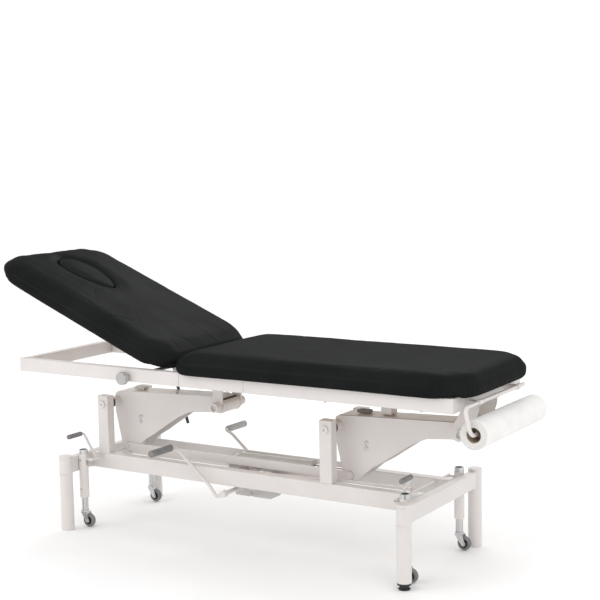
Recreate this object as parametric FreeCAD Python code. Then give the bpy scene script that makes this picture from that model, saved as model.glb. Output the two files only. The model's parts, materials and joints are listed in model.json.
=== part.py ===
"""Two-section hydraulic treatment couch on castors, one STEP file per separate piece.

Millimetres, +Z up, +X towards the foot end, floor at Z = 0. Pieces are laid out about the
middle of the four legs and moved by CENTRE_X when they are written, so that the origin is
under the middle of the whole couch.
"""
import FreeCAD, Part
import math
import os

V = FreeCAD.Vector

CENTRE_X = -26.4

# Base frame
LEG_X, LEG_Y = 724.0, 275.0
LEG_R, LEG_WALL, LEG_TOP = 25.0, 2.5, 287.0
SHORT_LEG_BOTTOM = 24.0
RAIL_BOTTOM, RAIL_TOP = 218.0, 278.0
CROSS_WIDTH = 30.0
SIDE_IN, SIDE_OUT = 100.0, 140.0
WALL = 2.0
POST_X = (-648.0, 348.0)
POST_WIDTH, POST_TOP = 50.0, 500.0

# Lifting linkage
PIVOT_Z = 468.0
PIVOT_R, PIVOT_HEAD_R = 10.0, 14.0
RUN_CLEAR = 0.05
OPEN_CLEAR = 0.5
ARM_DX, ARM_DZ = 490.0, 21.0
PIN_DX, PIN_DZ = 45.0, -175.0
CRANK_HALF, SHEET, FOLD_R = 48.0, 4.0, 8.0
BUSH_R, BUSH_END = 20.0, 99.5
ARM_TUBE_R, ARM_PIN_R, ARM_TUBE_HALF = 26.0, 12.0, 56.0
LOW_PIN_R = 8.0
TIE_IN, TIE_OUT, TIE_R = 50.0, 57.0, 15.0
BARREL_PIVOT = (-113.0, 291.0)
BARREL_R, BARREL_LEN, PISTON_R = 22.0, 330.0, 11.0
EYE_R, EYE_HALF = 17.0, 14.0

# Upper frame
FRAME_HEAD_X, FRAME_FOOT_X, FRAME_OUT = -942.0, 900.0, 270.0
FRAME_WIDTH, FRAME_BOTTOM, FRAME_TOP = 30.0, 597.0, 647.0
MID_CROSS_X, STOP_CROSS_X = -158.0, 526.0

# Upholstery
PAD_BOTTOM, PAD_THICK, PAD_HALF = 648.0, 72.0, 305.0
PAD_EDGE_TOP, MAIN_EDGE_LOW, BACK_EDGE_LOW = 38.0, 20.0, 33.0
MAIN_CORNERS, BACK_CORNERS = (80.0, 140.0), (135.0, 120.0)
BOARD_THICK, BOARD_INSET = 12.0, 62.0
MAIN_HEAD_X, MAIN_FOOT_X = -205.0, 962.0
HINGE_X, HINGE_Z = -257.0, 684.0
BACK_REST_ANGLE = 22.7
BACK_LENGTH = 900.0
HOLE_S, HOLE_LONG, HOLE_WIDE = 622.0, 138.0, 76.0
EGG_SHAPE, EGG_POINTS = 0.24, 24
HINGE_Y = 184.0

# Backrest strut and release
STRUT_Y, STRUT_FOOT = 90.0, (-267.0, 580.0)
STRUT_TOP_S, STRUT_TOP_DROP = 300.0, 61.0
STRUT_TUBE_R, STRUT_ROD_R = 11.0, 5.0
RELEASE_X, RELEASE_Z, RELEASE_R, LEVER_Y = -419.0, 612.0, 7.0, 66.0

# Castors
CASTOR_X, CASTOR_Y = 694.0, 207.0
GUIDE_R, GUIDE_BOTTOM, GUIDE_TOP = 18.0, 115.0, 286.0
STEM_R, STEM_BOTTOM = 13.0, 66.0
WHEEL_R, WHEEL_HALF, WHEEL_TRAIL, FLOOR_GAP = 25.0, 9.0, 20.0, 1.0
STEM_TOP, COLLAR_TOP, COLLAR_R = 293.0, 301.0, 17.0
SHAFT_X, SHAFT_Z, SHAFT_R = 652.0, 266.0, 6.0
PRESS_PIN_Z, PRESS_PIN_R, PRESS_PIN_REACH = 255.5, 3.5, 25.0
FINGER = 22.0
LEVER_GRIP_X, LEVER_GRIP_Z = 712.0, 358.0
LINK_Y, LINK_ARM, LINK_TILT, LINK_PLAY = 86.0, 22.0, 13.0, 1.5

# Pump
PUMP_SHAFT = (-65.0, 196.0)
PEDAL_GRIP = (-290.0, 345.0)

# Paper roll
ROLL_X, ROLL_Z, ROLL_R, CORE_R = 957.0, 530.0, 48.0, 24.0
ROLL_Y = (-242.0, 258.0)
HOLDER_R, HOLDER_X, HOLDER_Z, HOLDER_FAR = 7.0, 935.0, 619.0, 215.0
HOLDER_BEND, HUB_DEPTH = 24.0, 70.0

SIDES = (-1, 1)


def block(x0, x1, y0, y1, z0, z1):
    """Box between two corners, given in any order."""
    low = V(min(x0, x1), min(y0, y1), min(z0, z1))
    return Part.makeBox(abs(x1 - x0), abs(y1 - y0), abs(z1 - z0), low)


def rod(start, end, radius):
    """Round bar between two points."""
    start, end = V(*start), V(*end)
    return Part.makeCylinder(radius, start.distanceToPoint(end), start, end - start)


def y_rod(x, z, y0, y1, radius):
    """Round bar along Y."""
    return rod((x, min(y0, y1), z), (x, max(y0, y1), z), radius)


def y_ring(x, z, y0, y1, outer, inner):
    """Tube along Y."""
    return y_rod(x, z, y0, y1, outer).cut(y_rod(x, z, y0, y1, inner))


def plate(points, y0, y1):
    """Flat plate with the given X-Z outline, between two Y positions."""
    low, high = min(y0, y1), max(y0, y1)
    outline = [V(x, low, z) for x, z in points]
    return Part.Face(Part.makePolygon(outline + outline[:1])).extrude(V(0, high - low, 0))


def rounded_box(x0, x1, y0, y1, z0, z1, radius, axis):
    """Box whose four edges along one axis are rounded."""
    box = block(x0, x1, y0, y1, z0, z1)
    edges = [e for e in box.Edges if abs(e.tangentAt(e.FirstParameter).dot(axis)) > 0.99]
    return box.makeFillet(radius, edges)


def bent_rod(points, radius, bend):
    """Round bar along straight runs joined by tangent arcs."""
    path = [V(*p) for p in points]
    edges = []
    start = path[0]
    for before, corner, after in zip(path, path[1:], path[2:]):
        into = (corner - before).normalize()
        out = (after - corner).normalize()
        half = math.acos(max(-1.0, min(1.0, into.dot(out)))) / 2
        back = bend * math.tan(half)
        first, last = corner - into * back, corner + out * back
        inward = (out - into).normalize()
        middle = corner + inward * (bend / math.cos(half) - bend)
        edges.append(Part.LineSegment(start, first).toShape())
        edges.append(Part.Arc(first, middle, last).toShape())
        start = last
    edges.append(Part.LineSegment(start, path[-1]).toShape())
    profile = Part.Wire(Part.makeCircle(radius, path[0], (path[1] - path[0])))
    return Part.Wire(edges).makePipeShell([profile], True, True)


def fuse(shapes):
    """One solid from pieces that are welded together."""
    whole = shapes[0]
    for shape in shapes[1:]:
        whole = whole.fuse(shape)
    return whole.removeSplitter()


def group(shapes):
    """Separate solids that share one node."""
    return Part.makeCompound(shapes)


def turned(shape, x, z, degrees):
    """The shape turned about an axis along Y; positive lifts what lies towards -X."""
    copy = shape.copy()
    copy.rotate(V(x, 0, z), V(0, 1, 0), degrees)
    return copy


# ---------------------------------------------------------------- base frame

def leg(x, y):
    """Round upright, closed on top and open below."""
    bottom = SHORT_LEG_BOTTOM if (x > 0 and y < 0) else 0.0
    outer = rod((x, y, bottom), (x, y, LEG_TOP), LEG_R)
    top_edge = [e for e in outer.Edges if abs(e.CenterOfMass.z - LEG_TOP) < 0.1 and len(e.Vertexes) == 1]
    outer = outer.makeFillet(2.0, top_edge[:1])
    return outer.cut(rod((x, y, bottom), (x, y, LEG_TOP - LEG_WALL), LEG_R - LEG_WALL))


def levelling_foot():
    """Threaded stem with a stepped pad under the short leg."""
    x, y = LEG_X, -LEG_Y
    pad = rod((x, y, 0), (x, y, 4.9), 20.0)
    neck = rod((x, y, 4.9), (x, y, 16), 16.0)
    stem = rod((x, y, 16), (x, y, 78), 5.0)
    return fuse([pad, neck, stem])


def leg_plug():
    """Flanged plug in the end of the short leg that the levelling stem screws into."""
    x, y = LEG_X, -LEG_Y
    flange = rod((x, y, SHORT_LEG_BOTTOM - 7), (x, y, SHORT_LEG_BOTTOM), LEG_R - 0.5)
    insert = rod((x, y, SHORT_LEG_BOTTOM), (x, y, 62), LEG_R - LEG_WALL)
    plug = fuse([flange, insert]).cut(rod((x, y, 0), (x, y, SHORT_LEG_BOTTOM + 12), 17.0))
    return plug.cut(rod((x, y, 0), (x, y, 100), 5.0 + RUN_CLEAR))


def cross_rail(end):
    """Flat tube between the two legs of one end, shaped to fit round them."""
    half = CROSS_WIDTH / 2
    reach = LEG_Y - 10
    outer = rounded_box(end * LEG_X - half, end * LEG_X + half, -reach, reach,
                        RAIL_BOTTOM, RAIL_TOP, 4.0, V(0, 1, 0))
    inner = block(end * LEG_X - half + WALL, end * LEG_X + half - WALL, -reach, reach,
                  RAIL_BOTTOM + WALL, RAIL_TOP - WALL)
    tube = outer.cut(inner)
    for side in SIDES:
        tube = tube.cut(rod((end * LEG_X, side * LEG_Y, 0), (end * LEG_X, side * LEG_Y, 400), LEG_R))
    return tube


def side_rail(side):
    """Flat tube between the two cross rails, bored for the castor shafts."""
    reach = LEG_X - CROSS_WIDTH / 2
    low, high = sorted((side * SIDE_IN, side * SIDE_OUT))
    outer = rounded_box(-reach, reach, low, high, RAIL_BOTTOM, RAIL_TOP, 4.0, V(1, 0, 0))
    tube = outer.cut(block(-reach, reach, low + WALL, high - WALL, RAIL_BOTTOM + WALL, RAIL_TOP - WALL))
    for end in SIDES:
        tube = tube.cut(y_rod(end * SHAFT_X, SHAFT_Z, low - 1, high + 1, SHAFT_R + RUN_CLEAR))
    return tube


def post(x, side):
    """Square upright on a side rail that carries one end of a pivot."""
    low, high = sorted((side * SIDE_IN, side * SIDE_OUT))
    half = POST_WIDTH / 2
    outer = rounded_box(x - half, x + half, low, high, RAIL_TOP, POST_TOP, 4.0, V(0, 0, 1))
    inner = block(x - half + WALL, x + half - WALL, low + WALL, high - WALL, RAIL_TOP, POST_TOP - WALL)
    return outer.cut(inner).cut(y_rod(x, PIVOT_Z, low - 1, high + 1, PIVOT_R))


def pivot_bolt(x, side):
    """Shouldered bolt from outside the post into the crank's bush."""
    shank = y_rod(x, PIVOT_Z, side * 62, side * SIDE_OUT, PIVOT_R)
    head = y_rod(x, PIVOT_Z, side * SIDE_OUT, side * (SIDE_OUT + 7), PIVOT_HEAD_R)
    socket = y_rod(x, PIVOT_Z, side * (SIDE_OUT + 3), side * (SIDE_OUT + 7), 5.0)
    return fuse([shank, head]).cut(socket)


def barrel_bracket():
    """Plate across the side rails with two ears and the pin of the cylinder."""
    x, z = BARREL_PIVOT
    deck = block(x - 45, x + 45, -SIDE_IN, SIDE_IN, RAIL_BOTTOM + 8, RAIL_BOTTOM + 16)
    parts = [deck]
    for side in SIDES:
        outline = [(x - 30, RAIL_BOTTOM + 12), (x - 16, z), (x + 16, z), (x + 30, RAIL_BOTTOM + 12)]
        parts.append(plate(outline, side * 26, side * 34))
        parts.append(y_rod(x, z, side * 26, side * 34, 16.0))
    parts.append(y_rod(x, z, -42, 42, LOW_PIN_R))
    return fuse(parts)


def pump_body():
    """Pump and oil reservoir under the side rails, hung from two flat straps."""
    x0, x1 = -98.0, 46.0
    bottom, top = 157.0, RAIL_BOTTOM - 6
    tank = rounded_box(x0 + 70, x1, -42, 42, bottom, top, 12.0, V(1, 0, 0))
    head = rounded_box(x0, x0 + 70, -48, 48, bottom + 5, top, 6.0, V(0, 1, 0))
    reach = SIDE_IN + 30
    straps = [block(x, x + 26, -reach, reach, RAIL_BOTTOM - 6, RAIL_BOTTOM) for x in (-30.0, 16.0)]
    filler = rod((x1 - 24, -20, top), (x1 - 24, -20, top + 4), 9.0)
    drain = rod((x1, 0, bottom + 22), (x1 + 7, 0, bottom + 22), 7.0)
    hole = y_rod(*PUMP_SHAFT, -60, 60, 8.0 + RUN_CLEAR)
    return fuse([tank, head, filler, drain] + straps).cut(hole)


def castor_guide(x, y):
    """Upright sleeve on the inner face of a cross rail, slotted for the plunger's pin."""
    guide = rod((x, y, GUIDE_BOTTOM), (x, y, GUIDE_TOP), GUIDE_R)
    guide = guide.cut(rod((x, y, 0), (x, y, 400), STEM_R + RUN_CLEAR))
    inboard = math.copysign(1, -x)
    slot = block(x + inboard * 8, x + inboard * 22, y - 4.2, y + 4.2, PRESS_PIN_Z - 14.5, PRESS_PIN_Z + 5)
    guide = guide.cut(slot)
    rail = block(math.copysign(LEG_X - CROSS_WIDTH / 2, x), math.copysign(LEG_X + 20, x), y - 40, y + 40,
                 RAIL_BOTTOM, RAIL_TOP)
    return guide.cut(rail)


def castor_collar(x, y):
    """Plated cap on top of a sleeve; the plunger ends inside it."""
    ring = rod((x, y, GUIDE_TOP), (x, y, COLLAR_TOP), COLLAR_R)
    return ring.cut(rod((x, y, 0), (x, y, 400), STEM_R + RUN_CLEAR))


# ---------------------------------------------------------------- castors

def castor_stem(x, y):
    """Sliding plunger with the side pin that the linkage pushes down."""
    shaft = rod((x, y, STEM_BOTTOM), (x, y, STEM_TOP), STEM_R)
    tip = x - math.copysign(PRESS_PIN_REACH, x)
    pin = rod((x, y, PRESS_PIN_Z), (tip, y, PRESS_PIN_Z), PRESS_PIN_R)
    return shaft.fuse(pin).cut(rod((x, y, STEM_BOTTOM), (x, y, STEM_BOTTOM + 34), 6.0 + RUN_CLEAR))


def castor_fork(x, y):
    """Swivel fork with its kingpin, axle and two cheeks; the wheel trails towards +X."""
    wheel_z = WHEEL_R + FLOOR_GAP
    wheel_x = x + WHEEL_TRAIL
    kingpin = rod((x, y, STEM_BOTTOM - 8), (x, y, STEM_BOTTOM + 30), 6.0)
    crown = rod((x, y, STEM_BOTTOM - 8), (x, y, STEM_BOTTOM - 0.4), 15.0)
    parts = [kingpin, crown]
    roof_z = STEM_BOTTOM - 8
    inner = WHEEL_HALF + 2
    parts.append(block(x - 12, x + 16, y - inner - 3, y + inner + 3, roof_z - 3, roof_z))
    for side in SIDES:
        outline = [(x - 12, roof_z), (x + 16, roof_z), (wheel_x + 9, wheel_z), (wheel_x - 8, wheel_z - 4)]
        parts.append(plate(outline, y + side * inner, y + side * (inner + 3)))
        parts.append(y_rod(wheel_x, wheel_z, y + side * inner, y + side * (inner + 3), 9.0))
        parts.append(y_rod(wheel_x, wheel_z, y + side * (inner + 3), y + side * (inner + 6), 6.0))
    parts.append(y_rod(wheel_x, wheel_z, y - inner, y + inner, 4.0))
    return fuse(parts)


def castor_wheel(x, y):
    """Tyred wheel with a hub that is a little wider than the tread."""
    wheel_z = WHEEL_R + FLOOR_GAP
    wheel_x = x + WHEEL_TRAIL
    tread = y_rod(wheel_x, wheel_z, y - WHEEL_HALF, y + WHEEL_HALF, WHEEL_R)
    tread = tread.makeFillet(4.0, [e for e in tread.Edges if len(e.Vertexes) == 1])
    hub = y_rod(wheel_x, wheel_z, y - WHEEL_HALF - 1, y + WHEEL_HALF + 1, 8.0)
    return fuse([tread, hub]).cut(y_rod(wheel_x, wheel_z, y - 30, y + 30, 4.0 + RUN_CLEAR))


def link_pin(end):
    """X and Z of the pin between lever arm and link: below the head shaft, above the foot shaft."""
    tilt = math.radians(LINK_TILT)
    return end * SHAFT_X - LINK_ARM * math.sin(tilt), SHAFT_Z + end * LINK_ARM * math.cos(tilt)


def castor_lever(end):
    """Cross shaft with a finger over each plunger's pin, a handle bar and a link arm."""
    x = end * SHAFT_X
    parts = [y_rod(x, SHAFT_Z, -CASTOR_Y - 5, CASTOR_Y + 5, SHAFT_R)]
    for side in SIDES:
        y = side * CASTOR_Y
        parts.append(block(x, x + end * FINGER, y - 3.5, y + 3.5, SHAFT_Z - 5.5, SHAFT_Z + 2.5))
    lever_y = -(CASTOR_Y - GUIDE_R - 8)
    grip_x = end * LEVER_GRIP_X
    handle = [(x, lever_y, SHAFT_Z), (grip_x, lever_y, LEVER_GRIP_Z), (grip_x, -262, LEVER_GRIP_Z)]
    parts.append(bent_rod(handle, 5.0, 12.0))
    parts.append(y_rod(x, SHAFT_Z, lever_y - 7, lever_y + 7, 9.0))
    y0, y1 = -LINK_Y + 8, -LINK_Y + 12
    pin_x, pin_z = link_pin(end)
    reach = SHAFT_Z + end * LINK_ARM
    arm = plate([(x - 4.5, SHAFT_Z), (x + 4.5, SHAFT_Z), (x + 4.5, reach), (x - 4.5, reach)], y0, y1)
    parts.append(turned(arm, x, SHAFT_Z, -end * LINK_TILT))
    parts.append(y_rod(pin_x, pin_z, y0, y1, 8.0))
    opened = RUN_CLEAR if end < 0 else LINK_PLAY
    return fuse(parts).cut(y_rod(pin_x, pin_z, -LINK_Y, -LINK_Y + 30, 3.0 + opened))


def castor_grip(end):
    """Rubber sleeve on the end of a castor lever."""
    x = end * LEVER_GRIP_X
    grip = y_rod(x, LEVER_GRIP_Z, -270, -196, 9.0)
    return grip.cut(y_rod(x, LEVER_GRIP_Z, -262, -190, 5.0))


def castor_link():
    """Long bar with a pin at each end that makes both castor levers turn together."""
    (x0, z0), (x1, z1) = link_pin(-1), link_pin(1)
    slope = (z1 - z0) / (x1 - x0)
    parts = [rod((x0 - 8, -LINK_Y, z0 - 8 * slope), (x1 + 8, -LINK_Y, z1 + 8 * slope), 5.0)]
    parts.append(y_rod(x0, z0, -LINK_Y, -LINK_Y + 14, 3.0))
    parts.append(y_rod(x1, z1, -LINK_Y, -LINK_Y + 14, 3.0))
    return fuse(parts)


# ---------------------------------------------------------------- lifting linkage

def crank_outline(x, z, dx=0.0, dz=0.0):
    """Side outline of the bell crank, from its pivot, round by the top."""
    points = [(-15, -44), (-15, 14), (-9, 30), (6, 38), (40, 40), (ARM_DX - 30, 55), (ARM_DX - 6, 50),
              (ARM_DX - 2, 0), (ARM_DX - 30, -5), (348, -15), (290, -40), (215, -89), (174, -117),
              (132, -141), (69, -195), (52, -196), (36, -186), (14, -172)]
    return [(x + px + dx, z + pz + dz) for px, pz in points]


def crank(x):
    """Folded sheet bell crank with pivot bushes and a tube at the end of its arm."""
    z = PIVOT_Z
    body = plate(crank_outline(x, z), -CRANK_HALF, CRANK_HALF)
    hollow = plate(crank_outline(x, z, SHEET, -SHEET), -CRANK_HALF + SHEET, CRANK_HALF - SHEET)
    outer = [e for e in body.Edges if abs(abs(e.CenterOfMass.y) - CRANK_HALF) < 0.1]
    fold = [e for e in outer if e.CenterOfMass.x < x + 1 and e.Length > 20]
    body = body.makeFillet(FOLD_R, fold)
    hollow_low = hollow.copy()
    hollow_low.translate(V(14, 0, -14))
    slot = block(x - 25, x + 42, -18, 18, z - 205, z - 112)
    body = body.cut(hollow).cut(hollow_low).cut(slot)
    arm_x, arm_z = x + ARM_DX, z + ARM_DZ
    parts = [body]
    parts.append(y_rod(arm_x, arm_z, -ARM_TUBE_HALF, ARM_TUBE_HALF, ARM_TUBE_R))
    for side in SIDES:
        parts.append(y_rod(x, z, side * (CRANK_HALF - SHEET), side * BUSH_END, BUSH_R))
        parts.append(y_rod(x + PIN_DX, z + PIN_DZ, side * (CRANK_HALF - 10), side * CRANK_HALF, 17.0))
        parts.append(y_rod(x + 114, z - 52, side * CRANK_HALF, side * (CRANK_HALF + 4), 7.0))
        parts.append(y_rod(x + 113, z - 71, side * CRANK_HALF, side * (CRANK_HALF + 4), 7.0))
    whole = fuse(parts)
    opened = OPEN_CLEAR if x > 0 else RUN_CLEAR
    whole = whole.cut(y_rod(x, z, -120, 120, PIVOT_R + RUN_CLEAR))
    whole = whole.cut(y_rod(arm_x, arm_z, -120, 120, ARM_PIN_R + opened))
    return whole.cut(y_rod(x + PIN_DX, z + PIN_DZ, -120, 120, LOW_PIN_R + opened))


def crank_bumper(x):
    """Rubber buffer on top of a crank."""
    top = PIVOT_Z + 40.0
    return rounded_box(x + 58, x + 106, -13, 13, top + 3.4, top + 15, 4.0, V(0, 1, 0))


def tie_bars():
    """Twin flat bars and their pins, between the lower ends of the cranks."""
    z = PIVOT_Z + PIN_DZ
    x0, x1 = POST_X[0] + PIN_DX, POST_X[1] + PIN_DX
    parts = []
    for side in SIDES:
        y0, y1 = side * TIE_IN, side * TIE_OUT
        parts.append(block(x0, x1, y0, y1, z - TIE_R, z + TIE_R))
        for x in (x0, x1):
            parts.append(y_rod(x, z, y0, y1, TIE_R))
            parts.append(y_rod(x, z, y1, y1 + side * 5, 11.0))
            parts.append(y_rod(x, z, side * 34, y0, LOW_PIN_R))
    near, far = parts[:7], parts[7:]
    return group([fuse(near), fuse(far)])


def cylinder_barrel():
    """Hydraulic barrel with a rear eye and a hose union, lying between the ears."""
    x, z = BARREL_PIVOT
    eye = y_rod(x, z, -25, 25, EYE_R)
    tube = rod((x + 10, 0, z), (x + BARREL_LEN, 0, z), BARREL_R)
    gland = rod((x + BARREL_LEN - 22, 0, z), (x + BARREL_LEN, 0, z), BARREL_R + 3)
    union = rod((x + 60, 0, z - 34), (x + 60, 0, z - 15), 8.0)
    bore = rod((x + 40, 0, z), (x + BARREL_LEN + 5, 0, z), PISTON_R + RUN_CLEAR)
    barrel = fuse([eye, tube, gland, union]).cut(bore)
    return barrel.cut(y_rod(x, z, -60, 60, LOW_PIN_R + RUN_CLEAR))


def cylinder_rod():
    """Piston rod with the eye that pushes the foot crank."""
    x, z = BARREL_PIVOT
    pin_x = POST_X[1] + PIN_DX
    shaft = rod((x + 60, 0, z), (pin_x - 8, 0, z), PISTON_R)
    eye = y_rod(pin_x, z, -EYE_HALF, EYE_HALF, EYE_R)
    return fuse([shaft, eye])


def pump_pedal():
    """Double lever: a pump shaft and one cranked arm with a foot grip on each side."""
    x, z = PUMP_SHAFT
    parts = [y_rod(x, z, -176, 176, 8.0)]
    gx, gz = PEDAL_GRIP
    for side in SIDES:
        y = side * 170
        hook = [(x, y, z), (x - 34, y, z - 14), (x - 62, y, z + 22), (gx + 30, y, gz - 14),
                (gx, y, gz), (gx, y + side * 122, gz)]
        parts.append(bent_rod(hook, 6.0, 10.0))
        parts.append(y_rod(x, z, side * 158, side * 180, 13.0))
    return fuse(parts)


def pump_grips():
    """Ribbed rubber sleeves on the two pedal ends."""
    gx, gz = PEDAL_GRIP
    grips = []
    for side in SIDES:
        parts = [y_rod(gx, gz, side * 181, side * 303, 11.0)]
        for rib in range(8):
            y = side * (187 + rib * 14)
            parts.append(y_rod(gx, gz, y, y + side * 7, 13.0))
        grips.append(fuse(parts).cut(y_rod(gx, gz, side * 175, side * 292, 6.0)))
    return group(grips)


# ---------------------------------------------------------------- upper frame

def mitre(end, side):
    """Wedge outside the 45 degree joint between a frame side rail and a frame cross rail."""
    x = FRAME_FOOT_X if end > 0 else FRAME_HEAD_X
    y = side * FRAME_OUT
    far = 60.0
    outline = [V(x + end * 10, y + side * 10, 0), V(x - end * far, y - side * far, 0),
               V(x + end * 10, y - side * far, 0)]
    face = Part.Face(Part.makePolygon(outline + outline[:1]))
    wedge = face.extrude(V(0, 0, 900))
    return wedge


def frame_rail(side):
    """Long tube of the upper frame, mitred at both ends."""
    low, high = sorted((side * (FRAME_OUT - FRAME_WIDTH), side * FRAME_OUT))
    outer = rounded_box(FRAME_HEAD_X, FRAME_FOOT_X, low, high, FRAME_BOTTOM, FRAME_TOP, 3.0, V(1, 0, 0))
    tube = outer.cut(block(FRAME_HEAD_X - 1, FRAME_FOOT_X + 1, low + WALL, high - WALL,
                           FRAME_BOTTOM + WALL, FRAME_TOP - WALL))
    for end in SIDES:
        tube = tube.cut(mitre(end, side))
    hole = y_rod(RELEASE_X, RELEASE_Z, -300, -200, RELEASE_R + RUN_CLEAR)
    return tube.cut(hole) if side < 0 else tube


def frame_cross(end):
    """End tube of the upper frame, mitred at both ends."""
    edge = FRAME_FOOT_X if end > 0 else FRAME_HEAD_X
    x0, x1 = sorted((edge, edge - end * FRAME_WIDTH))
    outer = rounded_box(x0, x1, -FRAME_OUT, FRAME_OUT, FRAME_BOTTOM, FRAME_TOP, 3.0, V(0, 1, 0))
    tube = outer.cut(block(x0 + WALL, x1 - WALL, -FRAME_OUT - 1, FRAME_OUT + 1,
                           FRAME_BOTTOM + WALL, FRAME_TOP - WALL))
    kept = tube
    for side in SIDES:
        kept = kept.cut(frame_rail_zone(side, end))
    return kept


def frame_rail_zone(side, end):
    """Room that the mitred side rail takes at one corner."""
    x = FRAME_FOOT_X if end > 0 else FRAME_HEAD_X
    y = side * FRAME_OUT
    far = 60.0
    outline = [V(x + end * 10, y + side * 10, 0), V(x - end * far, y - side * far, 0),
               V(x - end * far, y + side * 10, 0)]
    return Part.Face(Part.makePolygon(outline + outline[:1])).extrude(V(0, 0, 900))


def cross_tube(x):
    """Square tube between the side rails of the upper frame."""
    reach = FRAME_OUT - FRAME_WIDTH
    outer = block(x - 20, x + 20, -reach, reach, FRAME_BOTTOM + 6, FRAME_TOP - 4)
    return outer.cut(block(x - 18, x + 18, -reach, reach, FRAME_BOTTOM + 8, FRAME_TOP - 6))


def head_hanger():
    """Two plates from the middle cross tube that hold the head crank's arm pin."""
    x, z = POST_X[0] + ARM_DX, PIVOT_Z + ARM_DZ
    parts = []
    top = FRAME_BOTTOM + 6
    for side in SIDES:
        y0, y1 = side * 58, side * 66
        parts.append(plate([(x - 26, top), (x - 18, z), (x + 18, z), (x + 26, top)], y0, y1))
        parts.append(y_rod(x, z, y0, y1, 18.0))
        parts.append(y_rod(x, z, y1, side * 82, 18.0))
    parts.append(y_rod(x, z, -60, 60, ARM_PIN_R))
    return fuse(parts)


def foot_gussets():
    """Slanting plates from the foot cross rail to the foot crank's arm pin."""
    x, z = POST_X[1] + ARM_DX, PIVOT_Z + ARM_DZ
    parts = []
    for side in SIDES:
        y0, y1 = side * 68, side * 76
        outline = [(850, FRAME_BOTTOM), (821, 543), (798, 500), (802, 470), (825, 461), (868, 478),
                   (899, 577), (899, FRAME_BOTTOM)]
        parts.append(plate(outline, y0, y1))
        parts.append(y_rod(x, z, y1, side * 84, 16.0))
        parts.append(y_rod(x, z, side * 57, y0, 20.0))
    parts.append(block(846, 899, -90, 90, FRAME_BOTTOM - 5, FRAME_BOTTOM))
    parts.append(y_rod(x, z, -70, 70, ARM_PIN_R))
    return fuse(parts)


def stop_block():
    """Down stop between the frame and the foot crank, on its own cross tube."""
    x = STOP_CROSS_X
    foot = block(x - 20, x + 20, -22, 22, 517, FRAME_BOTTOM + 6)
    pad = block(x - 16, x + 16, -16, 16, 514.5, 517)
    return fuse([cross_tube(x), foot, pad])


def hinge_lug(side):
    """Plate that rises from the middle cross tube to the backrest hinge axis."""
    x, z = HINGE_X, HINGE_Z
    cross = MID_CROSS_X - 20
    outline = [(cross, FRAME_BOTTOM + 8), (cross, FRAME_TOP - 6), (x + 30, FRAME_TOP - 4), (x + 11, z),
               (x - 11, z), (x - 11, FRAME_TOP - 6), (x + 10, FRAME_BOTTOM + 8)]
    lug = plate(outline, side * (HINGE_Y - 4), side * (HINGE_Y + 4))
    lug = lug.fuse(y_rod(x, z, side * (HINGE_Y - 4), side * (HINGE_Y + 4), 11.0)).removeSplitter()
    return lug.cut(y_rod(x, z, side * 150, side * 250, 6.0 + RUN_CLEAR))


def strut_ears():
    """Two ears on the middle cross tube for the foot of the backrest strut."""
    x, z = STRUT_FOOT
    parts = []
    cross = MID_CROSS_X - 20
    for side in SIDES:
        y = STRUT_Y + side * 13
        outline = [(cross, FRAME_BOTTOM + 8), (cross, FRAME_TOP - 8), (x - 4, z + 11), (x - 8, z - 8),
                   (x + 12, z - 11)]
        parts.append(plate(outline, y - 2, y + 2))
        parts.append(y_rod(x, z, y - 2, y + 2, 12.0))
    parts.append(y_rod(x, z, STRUT_Y - 18, STRUT_Y + 18, 5.0))
    return fuse(parts)


def hinge_cross():
    """Middle cross tube with the backrest hinge lugs and the strut's ears."""
    return fuse([cross_tube(MID_CROSS_X), hinge_lug(-1), hinge_lug(1), strut_ears()])


# ---------------------------------------------------------------- upholstery

def pad(x0, x1, corners, low_radius):
    """Closed cushion with rounded plan corners, given head then foot, and rounded top and bottom edges."""
    top = PAD_BOTTOM + PAD_THICK
    box = block(x0, x1, -PAD_HALF, PAD_HALF, PAD_BOTTOM, top)
    for x, radius in zip((x0, x1), corners):
        upright = [e for e in box.Edges if abs(e.tangentAt(e.FirstParameter).z) > 0.99]
        box = box.makeFillet(radius, [e for e in upright if abs(e.CenterOfMass.x - x) < 1])
    box = box.makeFillet(PAD_EDGE_TOP, [e for e in box.Edges if abs(e.CenterOfMass.z - top) < 0.01])
    return box.makeFillet(low_radius, [e for e in box.Edges if abs(e.CenterOfMass.z - PAD_BOTTOM) < 0.01])


def board(x0, x1):
    """Plywood board let into the underside of a cushion."""
    return rounded_box(x0 + BOARD_INSET, x1 - BOARD_INSET, -PAD_HALF + BOARD_INSET, PAD_HALF - BOARD_INSET,
                       PAD_BOTTOM, PAD_BOTTOM + BOARD_THICK, 30.0, V(0, 0, 1))


def back_span():
    """X range of the backrest when it lies flat."""
    foot = HINGE_X + PAD_THICK / 2
    return foot - BACK_LENGTH, foot


def face_oval(grow, z0, z1):
    """Upright prism of the egg-shaped face opening in the flat backrest, broad towards the head."""
    points = []
    for step in range(EGG_POINTS):
        turn = 2 * math.pi * step / EGG_POINTS
        along = (HOLE_LONG + grow) * math.cos(turn)
        across = (HOLE_WIDE + grow) * math.sin(turn) * (1 + EGG_SHAPE * math.cos(turn))
        points.append(V(HINGE_X - HOLE_S - along, across, z0))
    curve = Part.BSplineCurve()
    curve.interpolate(points, PeriodicFlag=True)
    return Part.Face(Part.Wire(curve.toShape())).extrude(V(0, 0, z1 - z0))


def rest(shape):
    """Turn a piece of the flat backrest to its stored angle."""
    return turned(shape, HINGE_X, HINGE_Z, BACK_REST_ANGLE)


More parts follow.
